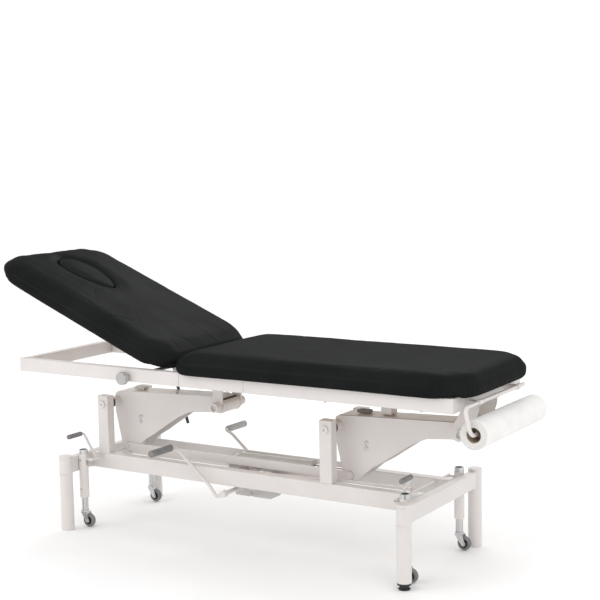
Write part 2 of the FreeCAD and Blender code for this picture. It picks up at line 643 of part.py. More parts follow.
def backrest_board():
    """Board with its two hinge ears, hinge pins and the strut's upper bracket."""
    x0, x1 = back_span()
    flat = board(x0, x1).cut(face_oval(6, PAD_BOTTOM - 5, PAD_BOTTOM + 40))
    parts = [flat]
    for side in SIDES:
        y0, y1 = side * (HINGE_Y + 8), side * (HINGE_Y + 14)
        outline = [(x1 - BOARD_INSET - 60, PAD_BOTTOM), (x1 - BOARD_INSET - 60, PAD_BOTTOM + BOARD_THICK),
                   (HINGE_X, HINGE_Z + 10), (HINGE_X + 8, HINGE_Z - 6), (HINGE_X - 12, PAD_BOTTOM + 4)]
        parts.append(plate(outline, y0, y1))
        parts.append(y_rod(HINGE_X, HINGE_Z, y0, y1, 10.0))
        parts.append(y_rod(HINGE_X, HINGE_Z, side * (HINGE_Y - 7), y1, 6.0))
    top_x, top_z = HINGE_X - STRUT_TOP_S, HINGE_Z - STRUT_TOP_DROP
    for side in SIDES:
        y = STRUT_Y + side * 15
        outline = [(top_x - 24, PAD_BOTTOM), (top_x - 12, top_z - 4), (top_x + 12, top_z - 4),
                   (top_x + 24, PAD_BOTTOM)]
        parts.append(plate(outline, y - 2, y + 2))
        parts.append(y_rod(top_x, top_z, y - 2 + side * 4, y + 2 + side * 4, 9.0))
    parts.append(block(top_x - 34, top_x + 34, STRUT_Y - 30, STRUT_Y + 30, PAD_BOTTOM - 3, PAD_BOTTOM))
    return rest(fuse(parts))


def backrest_cushion():
    """Backrest cushion with the face opening and slots for the hinge hardware."""
    x0, x1 = back_span()
    body = pad(x0, x1, BACK_CORNERS, BACK_EDGE_LOW).cut(board(x0, x1))
    body = body.cut(face_oval(0, PAD_BOTTOM - 5, PAD_BOTTOM + PAD_THICK + 5))
    for side in SIDES:
        y0, y1 = side * (HINGE_Y - 9), side * (HINGE_Y + 16)
        body = body.cut(block(HINGE_X - 16, x1 + 5, y0, y1, PAD_BOTTOM - 5, HINGE_Z + 17))
        arm_y = side * (HINGE_Y + 6)
        body = body.cut(block(x1 - BOARD_INSET - 62, HINGE_X, arm_y, y1, PAD_BOTTOM - 5, HINGE_Z + 17))
    return rest(body)


def face_plug():
    """Padded plug that lifts out of the face opening."""
    body = face_oval(-1.0, PAD_BOTTOM + 4, PAD_BOTTOM + PAD_THICK + 3)
    top = [e for e in body.Edges if e.CenterOfMass.z > PAD_BOTTOM + PAD_THICK]
    return rest(body.makeFillet(9.0, top))


# ---------------------------------------------------------------- strut, release, paper roll

def strut_line():
    """Foot and top points of the strut at rest."""
    angle = math.radians(BACK_REST_ANGLE)
    dx, dz = -STRUT_TOP_S, -STRUT_TOP_DROP
    cos, sin = math.cos(angle), math.sin(angle)
    return STRUT_FOOT, (HINGE_X + dx * cos + dz * sin, HINGE_Z - dx * sin + dz * cos)


def along_strut(distance, from_top=False):
    """Point on the strut's axis, so far from its foot or from its top."""
    foot, top = strut_line()
    length = math.dist(foot, top)
    share = (length - distance if from_top else distance) / length
    return (foot[0] + share * (top[0] - foot[0]), STRUT_Y, foot[1] + share * (top[1] - foot[1]))


def strut_tube():
    """Lower tube of the backrest strut, with its eye."""
    foot = STRUT_FOOT
    eye = y_rod(*foot, STRUT_Y - 10, STRUT_Y + 10, 10.0)
    tube = rod(along_strut(6), along_strut(240), STRUT_TUBE_R)
    bore = rod(along_strut(20), along_strut(250), STRUT_ROD_R + RUN_CLEAR)
    return fuse([eye, tube]).cut(bore).cut(y_rod(*foot, STRUT_Y - 30, STRUT_Y + 30, 5.0 + RUN_CLEAR))


def strut_rod():
    """Upper rod of the backrest strut, with its eye."""
    top = strut_line()[1]
    shaft = rod(along_strut(80), along_strut(6, True), STRUT_ROD_R)
    eye = y_rod(*top, STRUT_Y - 9, STRUT_Y + 9, 7.0)
    return fuse([shaft, eye])


def release_lever():
    """Cross shaft through the near rail with the black lever that hangs from it."""
    shaft = y_rod(RELEASE_X, RELEASE_Z, -272, LEVER_Y + 11, RELEASE_R)
    hub = y_rod(RELEASE_X, RELEASE_Z, LEVER_Y - 11, LEVER_Y + 11, 13.0)
    route = [(RELEASE_X, LEVER_Y, RELEASE_Z), (RELEASE_X - 34, LEVER_Y, RELEASE_Z - 14),
             (RELEASE_X - 30, LEVER_Y, RELEASE_Z - 60), (RELEASE_X + 25, LEVER_Y, 380)]
    return fuse([shaft, hub, bent_rod(route, 6.0, 12.0)])


def hand_knob():
    """Round grip knob on the outer end of the release shaft."""
    collar = y_rod(RELEASE_X, RELEASE_Z, -282, -271, 12.0)
    head = y_rod(RELEASE_X, RELEASE_Z, -304, -281, 24.0)
    head = head.makeFillet(5.0, [e for e in head.Edges if len(e.Vertexes) == 1])
    for step in range(8):
        angle = math.radians(step * 45)
        x, z = RELEASE_X + 27 * math.cos(angle), RELEASE_Z + 27 * math.sin(angle)
        head = head.cut(y_rod(x, z, -310, -275, 6.0))
    return fuse([collar, head]).cut(y_rod(RELEASE_X, RELEASE_Z, -272, -260, RELEASE_R))


def roll_holder():
    """Bar clamped across the frame's foot end, hooked down at the near end to hold the paper roll."""
    x, z = HOLDER_X, HOLDER_Z
    low, high = ROLL_Y
    near, tip = low - 18, high - HUB_DEPTH
    route = [(x, HOLDER_FAR, z), (x, near, z), (ROLL_X, near, ROLL_Z), (ROLL_X, tip, ROLL_Z)]
    parts = [bent_rod(route, HOLDER_R, HOLDER_BEND)]
    for y_hub in (low + HUB_DEPTH, tip - 12):
        parts.append(y_rod(ROLL_X, ROLL_Z, y_hub, y_hub + 12, CORE_R - 0.06))
    for y in (-150.0, 165.0):
        parts.append(block(FRAME_FOOT_X, FRAME_FOOT_X + 4, y - 26, y + 26, z - 16, z + 16))
        parts.append(block(FRAME_FOOT_X, x, y - 12, y + 12, z - 5, z + 5))
        parts.append(y_rod(x, z, y - 12, y + 12, 10.0))
    return fuse(parts)


def paper_roll():
    """Roll of couch paper on its card core."""
    return y_ring(ROLL_X, ROLL_Z, ROLL_Y[0], ROLL_Y[1], ROLL_R, CORE_R)


# ---------------------------------------------------------------- all nodes

def build():
    """Every node and its shape."""
    nodes = {}
    for end, x in (("head", -1), ("foot", 1)):
        for hand, y in (("near", -1), ("far", 1)):
            place = end + "_" + hand
            nodes["leg_" + place] = leg(x * LEG_X, y * LEG_Y)
            nodes["castor_stem_" + place] = castor_stem(x * CASTOR_X, y * CASTOR_Y)
            nodes["castor_fork_" + place] = castor_fork(x * CASTOR_X, y * CASTOR_Y)
            nodes["castor_wheel_" + place] = castor_wheel(x * CASTOR_X, y * CASTOR_Y)
        nodes["base_cross_" + end] = cross_rail(x)
        nodes["castor_lever_" + end] = castor_lever(x)
        nodes["castor_grip_" + end] = castor_grip(x)
        nodes["frame_cross_" + end] = frame_cross(x)
    nodes["levelling_foot"] = levelling_foot()
    nodes["leg_plug"] = leg_plug()
    for hand, y in (("near", -1), ("far", 1)):
        nodes["base_rail_" + hand] = side_rail(y)
        nodes["frame_rail_" + hand] = frame_rail(y)
    corners = [(x * CASTOR_X, y * CASTOR_Y) for x in SIDES for y in SIDES]
    nodes["castor_guides"] = group([castor_guide(x, y) for x, y in corners])
    nodes["castor_collars"] = group([castor_collar(x, y) for x, y in corners])
    nodes["castor_link"] = castor_link()
    for name, x in zip(("head", "foot"), POST_X):
        nodes["crank_" + name] = crank(x)
        nodes["bumper_" + name] = crank_bumper(x)
    nodes["pivot_posts"] = group([post(x, side) for x in POST_X for side in SIDES])
    nodes["pivot_bolts"] = group([pivot_bolt(x, side) for x in POST_X for side in SIDES])
    nodes["tie_bars"] = tie_bars()
    nodes["barrel_bracket"] = barrel_bracket()
    nodes["cylinder_barrel"] = cylinder_barrel()
    nodes["cylinder_rod"] = cylinder_rod()
    nodes["pump_body"] = pump_body()
    nodes["pump_pedal"] = pump_pedal()
    nodes["pump_grips"] = pump_grips()
    nodes["head_hanger"] = head_hanger()
    nodes["foot_gussets"] = foot_gussets()
    nodes["stop_block"] = stop_block()
    nodes["hinge_cross"] = hinge_cross()
    main_board = board(MAIN_HEAD_X, MAIN_FOOT_X)
    nodes["main_board"] = main_board
    main_pad = pad(MAIN_HEAD_X, MAIN_FOOT_X, MAIN_CORNERS, MAIN_EDGE_LOW)
    nodes["main_cushion"] = main_pad.cut(main_board)
    nodes["backrest_board"] = backrest_board()
    nodes["backrest_cushion"] = backrest_cushion()
    nodes["face_plug"] = face_plug()
    nodes["strut_tube"] = strut_tube()
    nodes["strut_rod"] = strut_rod()
    nodes["release_lever"] = release_lever()
    nodes["hand_knob"] = hand_knob()
    nodes["roll_holder"] = roll_holder()
    nodes["paper_roll"] = paper_roll()
    return nodes


def main():
    """Write one STEP file per node."""
    os.makedirs("parts", exist_ok=True)
    for name, shape in build().items():
        placed = shape.copy()
        placed.translate(V(-CENTRE_X, 0, 0))
        placed.exportStep("parts/" + name + ".step")
        if not placed.isValid():
            print("not valid:", name)
    print("nodes written")


main()
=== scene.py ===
"""Looks of the two-section hydraulic treatment couch: materials, upholstery, castors and small parts.

Metres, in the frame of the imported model: +X to the foot end, +Z up, floor at Z = 0.
"""

import json
import math

import bmesh
import bpy
import numpy
from mathutils import Matrix, Vector, noise


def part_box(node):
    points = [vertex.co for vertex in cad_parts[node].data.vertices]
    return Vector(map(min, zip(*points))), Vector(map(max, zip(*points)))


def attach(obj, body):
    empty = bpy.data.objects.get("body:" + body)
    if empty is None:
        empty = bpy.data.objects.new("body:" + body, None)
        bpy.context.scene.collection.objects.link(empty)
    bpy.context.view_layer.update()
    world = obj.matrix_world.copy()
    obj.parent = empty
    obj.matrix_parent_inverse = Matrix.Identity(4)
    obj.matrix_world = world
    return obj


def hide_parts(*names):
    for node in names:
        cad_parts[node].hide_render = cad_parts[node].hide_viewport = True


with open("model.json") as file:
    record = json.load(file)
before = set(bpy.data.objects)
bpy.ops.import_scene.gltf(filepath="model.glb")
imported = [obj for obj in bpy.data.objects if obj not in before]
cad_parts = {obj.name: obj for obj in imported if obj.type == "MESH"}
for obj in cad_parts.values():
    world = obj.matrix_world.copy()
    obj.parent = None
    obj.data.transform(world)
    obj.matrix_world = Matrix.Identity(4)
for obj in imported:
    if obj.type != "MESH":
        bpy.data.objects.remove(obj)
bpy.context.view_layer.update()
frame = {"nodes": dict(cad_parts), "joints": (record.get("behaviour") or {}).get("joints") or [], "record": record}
nodes = frame["nodes"]

SIDES = (-1, 1)
ENDS = ("head", "foot")
HANDS = ("near", "far")


def box_middle(node):
    """Middle of a node's box."""
    low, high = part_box(node)
    return (low + high) / 2


LEGS_X = (box_middle("leg_head_near").x + box_middle("leg_foot_near").x) / 2


# ---- camera, light and floor

def add_camera():
    """Camera that looks down on the near foot corner from a standing height."""
    yaw, pitch, roll = math.radians(32.02), math.radians(6.84), math.radians(-1.0)
    forward = Vector((-math.sin(yaw) * math.cos(pitch), math.cos(yaw) * math.cos(pitch), -math.sin(pitch)))
    level = Vector((math.cos(yaw), math.sin(yaw), 0))
    upright = level.cross(forward)
    right = level * math.cos(roll) + upright * math.sin(roll)
    top = -level * math.sin(roll) + upright * math.cos(roll)
    data = bpy.data.cameras.new("camera")
    data.lens = 82.04
    data.sensor_width = 36
    camera = bpy.data.objects.new("camera", data)
    bpy.context.scene.collection.objects.link(camera)
    turn = Matrix((right, top, -forward)).transposed().to_4x4()
    camera.matrix_world = Matrix.Translation((LEGS_X + 2.7442, -4.1184, 1.4791)) @ turn
    bpy.context.scene.camera = camera


def add_light(name, place, target, size, power):
    """Soft rectangular studio light aimed at a point."""
    data = bpy.data.lights.new(name, "AREA")
    data.shape = "RECTANGLE"
    data.size, data.size_y = size
    data.energy = power
    light = bpy.data.objects.new(name, data)
    bpy.context.scene.collection.objects.link(light)
    aim = Vector(target) - Vector(place)
    light.matrix_world = Matrix.Translation(place) @ aim.to_track_quat("-Z", "Y").to_matrix().to_4x4()


def add_studio():
    """Pale floor, even white surroundings and three soft lights."""
    world = bpy.data.worlds.new("studio")
    world.use_nodes = True
    background = world.node_tree.nodes["Background"]
    background.inputs["Color"].default_value = (1.0, 1.0, 1.0, 1)
    background.inputs["Strength"].default_value = 1.07
    bpy.context.scene.world = world
    bpy.context.scene.view_settings.view_transform = "Standard"
    add_light("key", (-2.6, -3.2, 3.6), (0, 0, 0.6), (2.4, 1.6), 30)
    add_light("fill", (3.8, -2.4, 2.2), (0.2, 0, 0.5), (2.0, 2.0), 12)
    add_light("rim", (-1.0, 3.6, 3.2), (0, 0, 0.7), (3.0, 1.2), 30)
    bpy.ops.mesh.primitive_plane_add(size=60, location=(0, 0, 0))
    floor = bpy.context.object
    floor.name = "floor"
    floor.data.materials.append(plain_floor())


def plain_floor():
    """Pale matt studio floor."""
    material, nodes_of, links, shader = new_material("studio_floor")
    tone = texture(nodes_of, links, "noise", 3.0, detail=2)
    blend = ramp(nodes_of, links, tone.outputs["Fac"], (0.94, 0.94, 0.945), (0.97, 0.97, 0.97))
    links.new(blend.outputs["Color"], shader.inputs["Base Color"])
    shader.inputs["Roughness"].default_value = 0.9
    shader.inputs["Specular IOR Level"].default_value = 0.1
    return material


# ---- material helpers

def new_material(name):
    """Node material with a Principled shader."""
    material = bpy.data.materials.new(name)
    material.use_nodes = True
    tree = material.node_tree
    return material, tree.nodes, tree.links, tree.nodes["Principled BSDF"]


def texture(tree_nodes, links, kind, scale, detail=3.0, stretch=(1, 1, 1)):
    """Procedural texture in object space, optionally stretched."""
    place = tree_nodes.new("ShaderNodeTexCoord")
    mapping = tree_nodes.new("ShaderNodeMapping")
    mapping.inputs["Scale"].default_value = stretch
    links.new(place.outputs["Object"], mapping.inputs["Vector"])
    made = {"noise": "ShaderNodeTexNoise", "cells": "ShaderNodeTexVoronoi", "wave": "ShaderNodeTexWave"}[kind]
    node = tree_nodes.new(made)
    node.inputs["Scale"].default_value = scale
    if kind != "cells":
        node.inputs["Detail"].default_value = detail
    links.new(mapping.outputs["Vector"], node.inputs["Vector"])
    return node


def ramp(tree_nodes, links, factor, low, high, start=0.3, end=0.7):
    """Colour that runs from low to high as the factor rises."""
    node = tree_nodes.new("ShaderNodeValToRGB")
    node.color_ramp.elements[0].position = start
    node.color_ramp.elements[1].position = end
    node.color_ramp.elements[0].color = (*low, 1)
    node.color_ramp.elements[1].color = (*high, 1)
    links.new(factor, node.inputs["Fac"])
    return node


def between(tree_nodes, links, factor, low, high):
    """Number that runs from low to high with the factor."""
    node = tree_nodes.new("ShaderNodeMapRange")
    node.inputs["To Min"].default_value = low
    node.inputs["To Max"].default_value = high
    links.new(factor, node.inputs["Value"])
    return node.outputs["Result"]


def bump(tree_nodes, links, shader, height, distance, strength=1.0, under=None):
    """Bump from a height, laid over an earlier bump if there is one."""
    node = tree_nodes.new("ShaderNodeBump")
    node.inputs["Distance"].default_value = distance
    node.inputs["Strength"].default_value = strength
    links.new(height, node.inputs["Height"])
    if under is not None:
        links.new(under.outputs["Normal"], node.inputs["Normal"])
    links.new(node.outputs["Normal"], shader.inputs["Normal"])
    return node


def powder_coat(name, light, dark, rough=(0.3, 0.42)):
    """Baked powder coat: fine orange peel and faint mottling."""
    material, tree, links, shader = new_material(name)
    patches = texture(tree, links, "noise", 7.0, detail=4)
    tint = ramp(tree, links, patches.outputs["Fac"], dark, light)
    links.new(tint.outputs["Color"], shader.inputs["Base Color"])
    smears = texture(tree, links, "noise", 26.0, detail=5)
    links.new(between(tree, links, smears.outputs["Fac"], *rough), shader.inputs["Roughness"])
    peel = texture(tree, links, "noise", 420.0, detail=2)
    first = bump(tree, links, shader, peel.outputs["Fac"], 0.00022, 0.55)
    flow = texture(tree, links, "noise", 45.0, detail=1)
    bump(tree, links, shader, flow.outputs["Fac"], 0.0006, 0.25, first)
    shader.inputs["Coat Weight"].default_value = 0.25
    shader.inputs["Coat Roughness"].default_value = 0.18
    return material


def vinyl(name):
    """Black upholstery vinyl: leather-like pebble grain, soft creases and a low gloss."""
    material, tree, links, shader = new_material(name)
    wear = texture(tree, links, "noise", 5.0, detail=5)
    tint = ramp(tree, links, wear.outputs["Fac"], (0.0065, 0.0072, 0.007), (0.0115, 0.0125, 0.0122))
    links.new(tint.outputs["Color"], shader.inputs["Base Color"])
    polish = texture(tree, links, "noise", 11.0, detail=6, stretch=(0.5, 1.4, 1))
    links.new(between(tree, links, polish.outputs["Fac"], 0.4, 0.58), shader.inputs["Roughness"])
    pebble = texture(tree, links, "cells", 520.0)
    pebble.feature = "SMOOTH_F1"
    grain = bump(tree, links, shader, pebble.outputs["Distance"], 0.00035, 0.55)
    fine = texture(tree, links, "noise", 1500.0, detail=2)
    pores = bump(tree, links, shader, fine.outputs["Fac"], 0.0001, 0.4, grain)
    creases = texture(tree, links, "noise", 24.0, detail=3, stretch=(0.35, 1.5, 1.5))
    bump(tree, links, shader, creases.outputs["Fac"], 0.0018, 0.35, pores)
    links.new(pores.outputs["Normal"], shader.inputs["Coat Normal"])
    shader.inputs["Specular IOR Level"].default_value = 0.0
    shader.inputs["Coat Weight"].default_value = 0.1
    shader.inputs["Coat Roughness"].default_value = 0.36
    return material


def metal(name, tone, rough, streak=(1, 1, 1), scale=90.0):
    """Bare or plated metal with fine streaks and faint staining."""
    material, tree, links, shader = new_material(name)
    shader.inputs["Metallic"].default_value = 1.0
    stain = texture(tree, links, "noise", 16.0, detail=5)
    darker = tuple(0.8 * value for value in tone)
    tint = ramp(tree, links, stain.outputs["Fac"], darker, tone)
    links.new(tint.outputs["Color"], shader.inputs["Base Color"])
    lines = texture(tree, links, "noise", scale, detail=4, stretch=streak)
    links.new(between(tree, links, lines.outputs["Fac"], *rough), shader.inputs["Roughness"])
    bump(tree, links, shader, lines.outputs["Fac"], 0.00006, 0.5)
    return material


def moulded(name, low, high, rough=(0.45, 0.62), grain=900.0, depth=0.00012):
    """Moulded plastic or rubber with a fine spark-eroded grain."""
    material, tree, links, shader = new_material(name)
    patches = texture(tree, links, "noise", 30.0, detail=4)
    tint = ramp(tree, links, patches.outputs["Fac"], low, high)
    links.new(tint.outputs["Color"], shader.inputs["Base Color"])
    links.new(between(tree, links, patches.outputs["Fac"], *rough), shader.inputs["Roughness"])
    pits = texture(tree, links, "noise", grain, detail=3)
    bump(tree, links, shader, pits.outputs["Fac"], depth, 0.6)
    return material


def plywood(name):
    """Birch plywood: long grain, darker pores and the plies seen at the edge."""
    material, tree, links, shader = new_material(name)
    grain = texture(tree, links, "noise", 14.0, detail=8, stretch=(0.6, 9, 3))
    tint = ramp(tree, links, grain.outputs["Fac"], (0.33, 0.2, 0.1), (0.62, 0.46, 0.29))
    plies = texture(tree, links, "wave", 120.0, detail=1)
    plies.bands_direction = "Z"
    mix = tree.new("ShaderNodeMix")
    mix.data_type = "RGBA"
    mix.blend_type = "MULTIPLY"
    mix.inputs["Factor"].default_value = 0.25
    links.new(tint.outputs["Color"], mix.inputs["A"])
    links.new(plies.outputs["Color"], mix.inputs["B"])
    links.new(mix.outputs["Result"], shader.inputs["Base Color"])
    links.new(between(tree, links, grain.outputs["Fac"], 0.55, 0.75), shader.inputs["Roughness"])
    bump(tree, links, shader, grain.outputs["Fac"], 0.0003, 0.5)
    return material


def paper(name, low=(0.86, 0.85, 0.83), high=(0.93, 0.925, 0.91)):
    """Soft white couch paper with a faint crepe."""
    material, tree, links, shader = new_material(name)
    patches = texture(tree, links, "noise", 18.0, detail=5)
    tint = ramp(tree, links, patches.outputs["Fac"], low, high)
    links.new(tint.outputs["Color"], shader.inputs["Base Color"])
    crepe = texture(tree, links, "noise", 220.0, detail=3, stretch=(1, 0.15, 1))
    bump(tree, links, shader, crepe.outputs["Fac"], 0.0004, 0.6)
    links.new(between(tree, links, patches.outputs["Fac"], 0.8, 0.95), shader.inputs["Roughness"])
    shader.inputs["Sheen Weight"].default_value = 0.1
    return material


WHITE = powder_coat("white_powder_coat", (0.725, 0.688, 0.667), (0.685, 0.649, 0.63))
VINYL = vinyl("black_vinyl")
ZINC = metal("zinc_plate", (0.66, 0.66, 0.67), (0.18, 0.34))
CHROME = metal("polished_steel", (0.72, 0.72, 0.74), (0.06, 0.16))
GREY_RUBBER = moulded("grey_rubber", (0.17, 0.165, 0.165), (0.23, 0.225, 0.225))
LIGHT_GREY = moulded("light_grey_rubber", (0.4, 0.395, 0.39), (0.48, 0.475, 0.47))
BLACK_RUBBER = moulded("black_rubber", (0.012, 0.012, 0.012), (0.03, 0.03, 0.03), (0.55, 0.75))
TYRE = moulded("tyre_rubber", (0.16, 0.16, 0.158), (0.22, 0.22, 0.215), (0.5, 0.7), 700.0)
BLACK_PLASTIC = moulded("black_plastic", (0.01, 0.01, 0.01), (0.022, 0.022, 0.022), (0.3, 0.45))
GREY_PLASTIC = moulded("grey_plastic", (0.43, 0.415, 0.4), (0.5, 0.485, 0.47), (0.35, 0.5))
PALE_RUBBER = moulded("pale_rubber", (0.55, 0.535, 0.52), (0.62, 0.6, 0.585))
BLACK_PAINT = powder_coat("black_enamel", (0.012, 0.012, 0.013), (0.02, 0.02, 0.021), (0.2, 0.32))
PUMP_GREY = powder_coat("pump_enamel", (0.58, 0.565, 0.55), (0.52, 0.51, 0.495), (0.28, 0.45))
PLYWOOD = plywood("birch_plywood")
PAPER = paper("couch_paper", (0.79, 0.78, 0.76), (0.86, 0.85, 0.83))
CARD = paper("card_core", (0.36, 0.28, 0.2), (0.47, 0.38, 0.28))

SLOT_MATERIALS = {
    "white_paint": WHITE, "black_vinyl": VINYL, "plywood": PLYWOOD, "black_rubber": BLACK_RUBBER,
    "grey_rubber": GREY_RUBBER, "castor_tyre": TYRE, "zinc_steel": ZINC, "dark_plastic": GREY_PLASTIC,
    "black_plastic": BLACK_PLASTIC, "black_steel": BLACK_PAINT, "pump_paint": PUMP_GREY, "paper": PAPER,
}
NODE_MATERIALS = {
    "pump_pedal": WHITE, "castor_lever_head": WHITE, "castor_lever_foot": WHITE, "pivot_bolts": WHITE,
    "bumper_head": PALE_RUBBER, "bumper_foot": GREY_RUBBER, "strut_rod": CHROME, "cylinder_rod": CHROME,
}


def dress_nodes():
    """Give every carried-over CAD node its procedural material."""
    slots = {entry["node"]: entry["material_slot"] for entry in frame["record"]["subparts"]}
    for name, node in nodes.items():
        chosen = NODE_MATERIALS.get(name, SLOT_MATERIALS[slots[name]])
        for index in range(len(node.material_slots)):
            node.material_slots[index].material = chosen
        if not node.material_slots:
            node.data.materials.append(chosen)


# ---- mesh helpers

def new_object(name, mesh, material, body):
    """Put a mesh in the scene on its body, with a material."""
    piece = bpy.data.objects.new(name, mesh)
    bpy.context.scene.collection.objects.link(piece)
    mesh.materials.append(material)
    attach(piece, body)
    return piece


def smooth(mesh, angle=40):
    """Shade smooth, with edges sharper than the angle kept."""
    mesh.shade_smooth()
    mesh.set_sharp_from_angle(angle=math.radians(angle))


def mesh_from(name, build, angle=40):
    """Mesh made by a function that fills a bmesh."""
    work = bmesh.new()
    build(work)
    bmesh.ops.remove_doubles(work, verts=work.verts, dist=1e-6)
    bmesh.ops.recalc_face_normals(work, faces=work.faces)
    mesh = bpy.data.meshes.new(name)
    work.to_mesh(mesh)
    work.free()
    smooth(mesh, angle)
    return mesh


def close_box(work, corners):
    """Six faces of a box whose corners are given as one end's loop and then the other's."""
    for face in ((0, 1, 2, 3), (7, 6, 5, 4), (0, 4, 5, 1), (1, 5, 6, 2), (2, 6, 7, 3), (3, 7, 4, 0)):
        work.faces.new([corners[i] for i in face])


def sheet_step(work, a, b, c, d):
    """Faces of one step of a thin sheet, between its rows a and b and its rows c and d."""
    for face in ((a[0], a[1], c[1], c[0]), (b[0], d[0], d[1], b[1]), (a[0], c[0], d[0], b[0]),
                 (a[1], b[1], d[1], c[1])):
        work.faces.new(face)


def add_built(name, build, material, body, angle=40):
    """Piece whose mesh is made by a function that fills a bmesh."""
    return new_object(name, mesh_from(name, build, angle), material, body)


def add_turned(name, profile, centre, axis, steps, material, body, angle=40):
    """Piece turned from one profile."""
    def build(work):
        lathe(work, profile, centre, axis, steps)
    return add_built(name, build, material, body, angle)


def lathe(work, profile, centre, axis, steps=48):
    """Turn a profile of (radius, distance along the axis) points about an axis."""
    frame_turn = Vector(axis).to_track_quat("Z", "Y").to_matrix()
    centre = Vector(centre)
    rings = []
    for radius, along in profile:
        if radius < 1e-7:
            rings.append([work.verts.new(centre + frame_turn @ Vector((0, 0, along)))])
            continue
        ring = []
        for step in range(steps):
            turn = 2 * math.pi * step / steps
            spot = Vector((radius * math.cos(turn), radius * math.sin(turn), along))
            ring.append(work.verts.new(centre + frame_turn @ spot))
        rings.append(ring)
    for first, second in zip(rings, rings[1:]):
        for step in range(steps):
            after = (step + 1) % steps
            corners = [first[step % len(first)], first[after % len(first)],
                       second[after % len(second)], second[step % len(second)]]
            face = list(dict.fromkeys(corners))
            if len(face) > 2:
                work.faces.new(face)


def tube_along(work, points, radius, steps=10, ripple=0.0, wave=0.0):
    """Round tube along a list of points; a ripple makes it look like a weld bead."""
    points = [Vector(p) for p in points]
    rings = []
    travelled = 0.0
    for index, spot in enumerate(points):
        before = points[max(index - 1, 0)]
        after = points[min(index + 1, len(points) - 1)]
        if index:
            travelled += (spot - points[index - 1]).length
        turn = (after - before).to_track_quat("Z", "Y").to_matrix()
        size = radius * (1 + ripple * math.sin(2 * math.pi * travelled / wave)) if wave else radius
        taper = 0.55 if index in (0, len(points) - 1) else 1.0
        ring = []
        for step in range(steps):
            angle = 2 * math.pi * step / steps
            out = turn @ Vector((math.cos(angle), math.sin(angle), 0))
            ring.append(work.verts.new(spot + out * size * taper))
        rings.append(ring)
    for first, second in zip(rings, rings[1:]):
        for step in range(steps):
            after = (step + 1) % steps
            work.faces.new((first[step], first[after], second[after], second[step]))
    work.faces.new(rings[0])
    work.faces.new(rings[-1])


def hex_head(work, centre, axis, across, height, washer=0.0):
    """Hexagon head with a chamfered crown, and a washer under it."""
    centre, axis = Vector(centre), Vector(axis).normalized()
    radius = across / math.sqrt(3)
    base = centre + axis * washer
    if washer:
        rim = radius * 1.25
        ring = [(0, 0), (rim, 0), (rim, washer * 0.8), (radius * 1.18, washer), (0, washer)]
        lathe(work, ring, centre, axis, 32)
    crown = [(0, 0), (radius, 0), (radius, height * 0.8), (radius * 0.86, height), (0, height)]
    lathe(work, crown, base, axis, 6)


def dome_head(work, centre, axis, radius, height):
    """Round bolt head with a hexagon socket."""
    shape = [(0, 0), (1, 0), (0.97, 0.45), (0.8, 0.85), (0.5, 1), (0.45, 1), (0.42, 0.4), (0, 0.35)]
    profile = [(radius * out, height * up) for out, up in shape]
    lathe(work, profile, centre, axis, 24)


# ---- upholstery

def even_out(mesh, moves, rounds):
    """Average each point's move with those of its neighbours, so that the swelling has no sharp folds."""
    ends = numpy.array([edge.vertices[:] for edge in mesh.edges])
    moves = numpy.array([tuple(move) for move in moves])
    count = numpy.bincount(ends.ravel(), minlength=len(moves))[:, None]
    for _ in range(rounds):
        total = numpy.zeros_like(moves)
        numpy.add.at(total, ends[:, 0], moves[ends[:, 1]])
        numpy.add.at(total, ends[:, 1], moves[ends[:, 0]])
        moves = (moves + total / count) / 2
    return moves


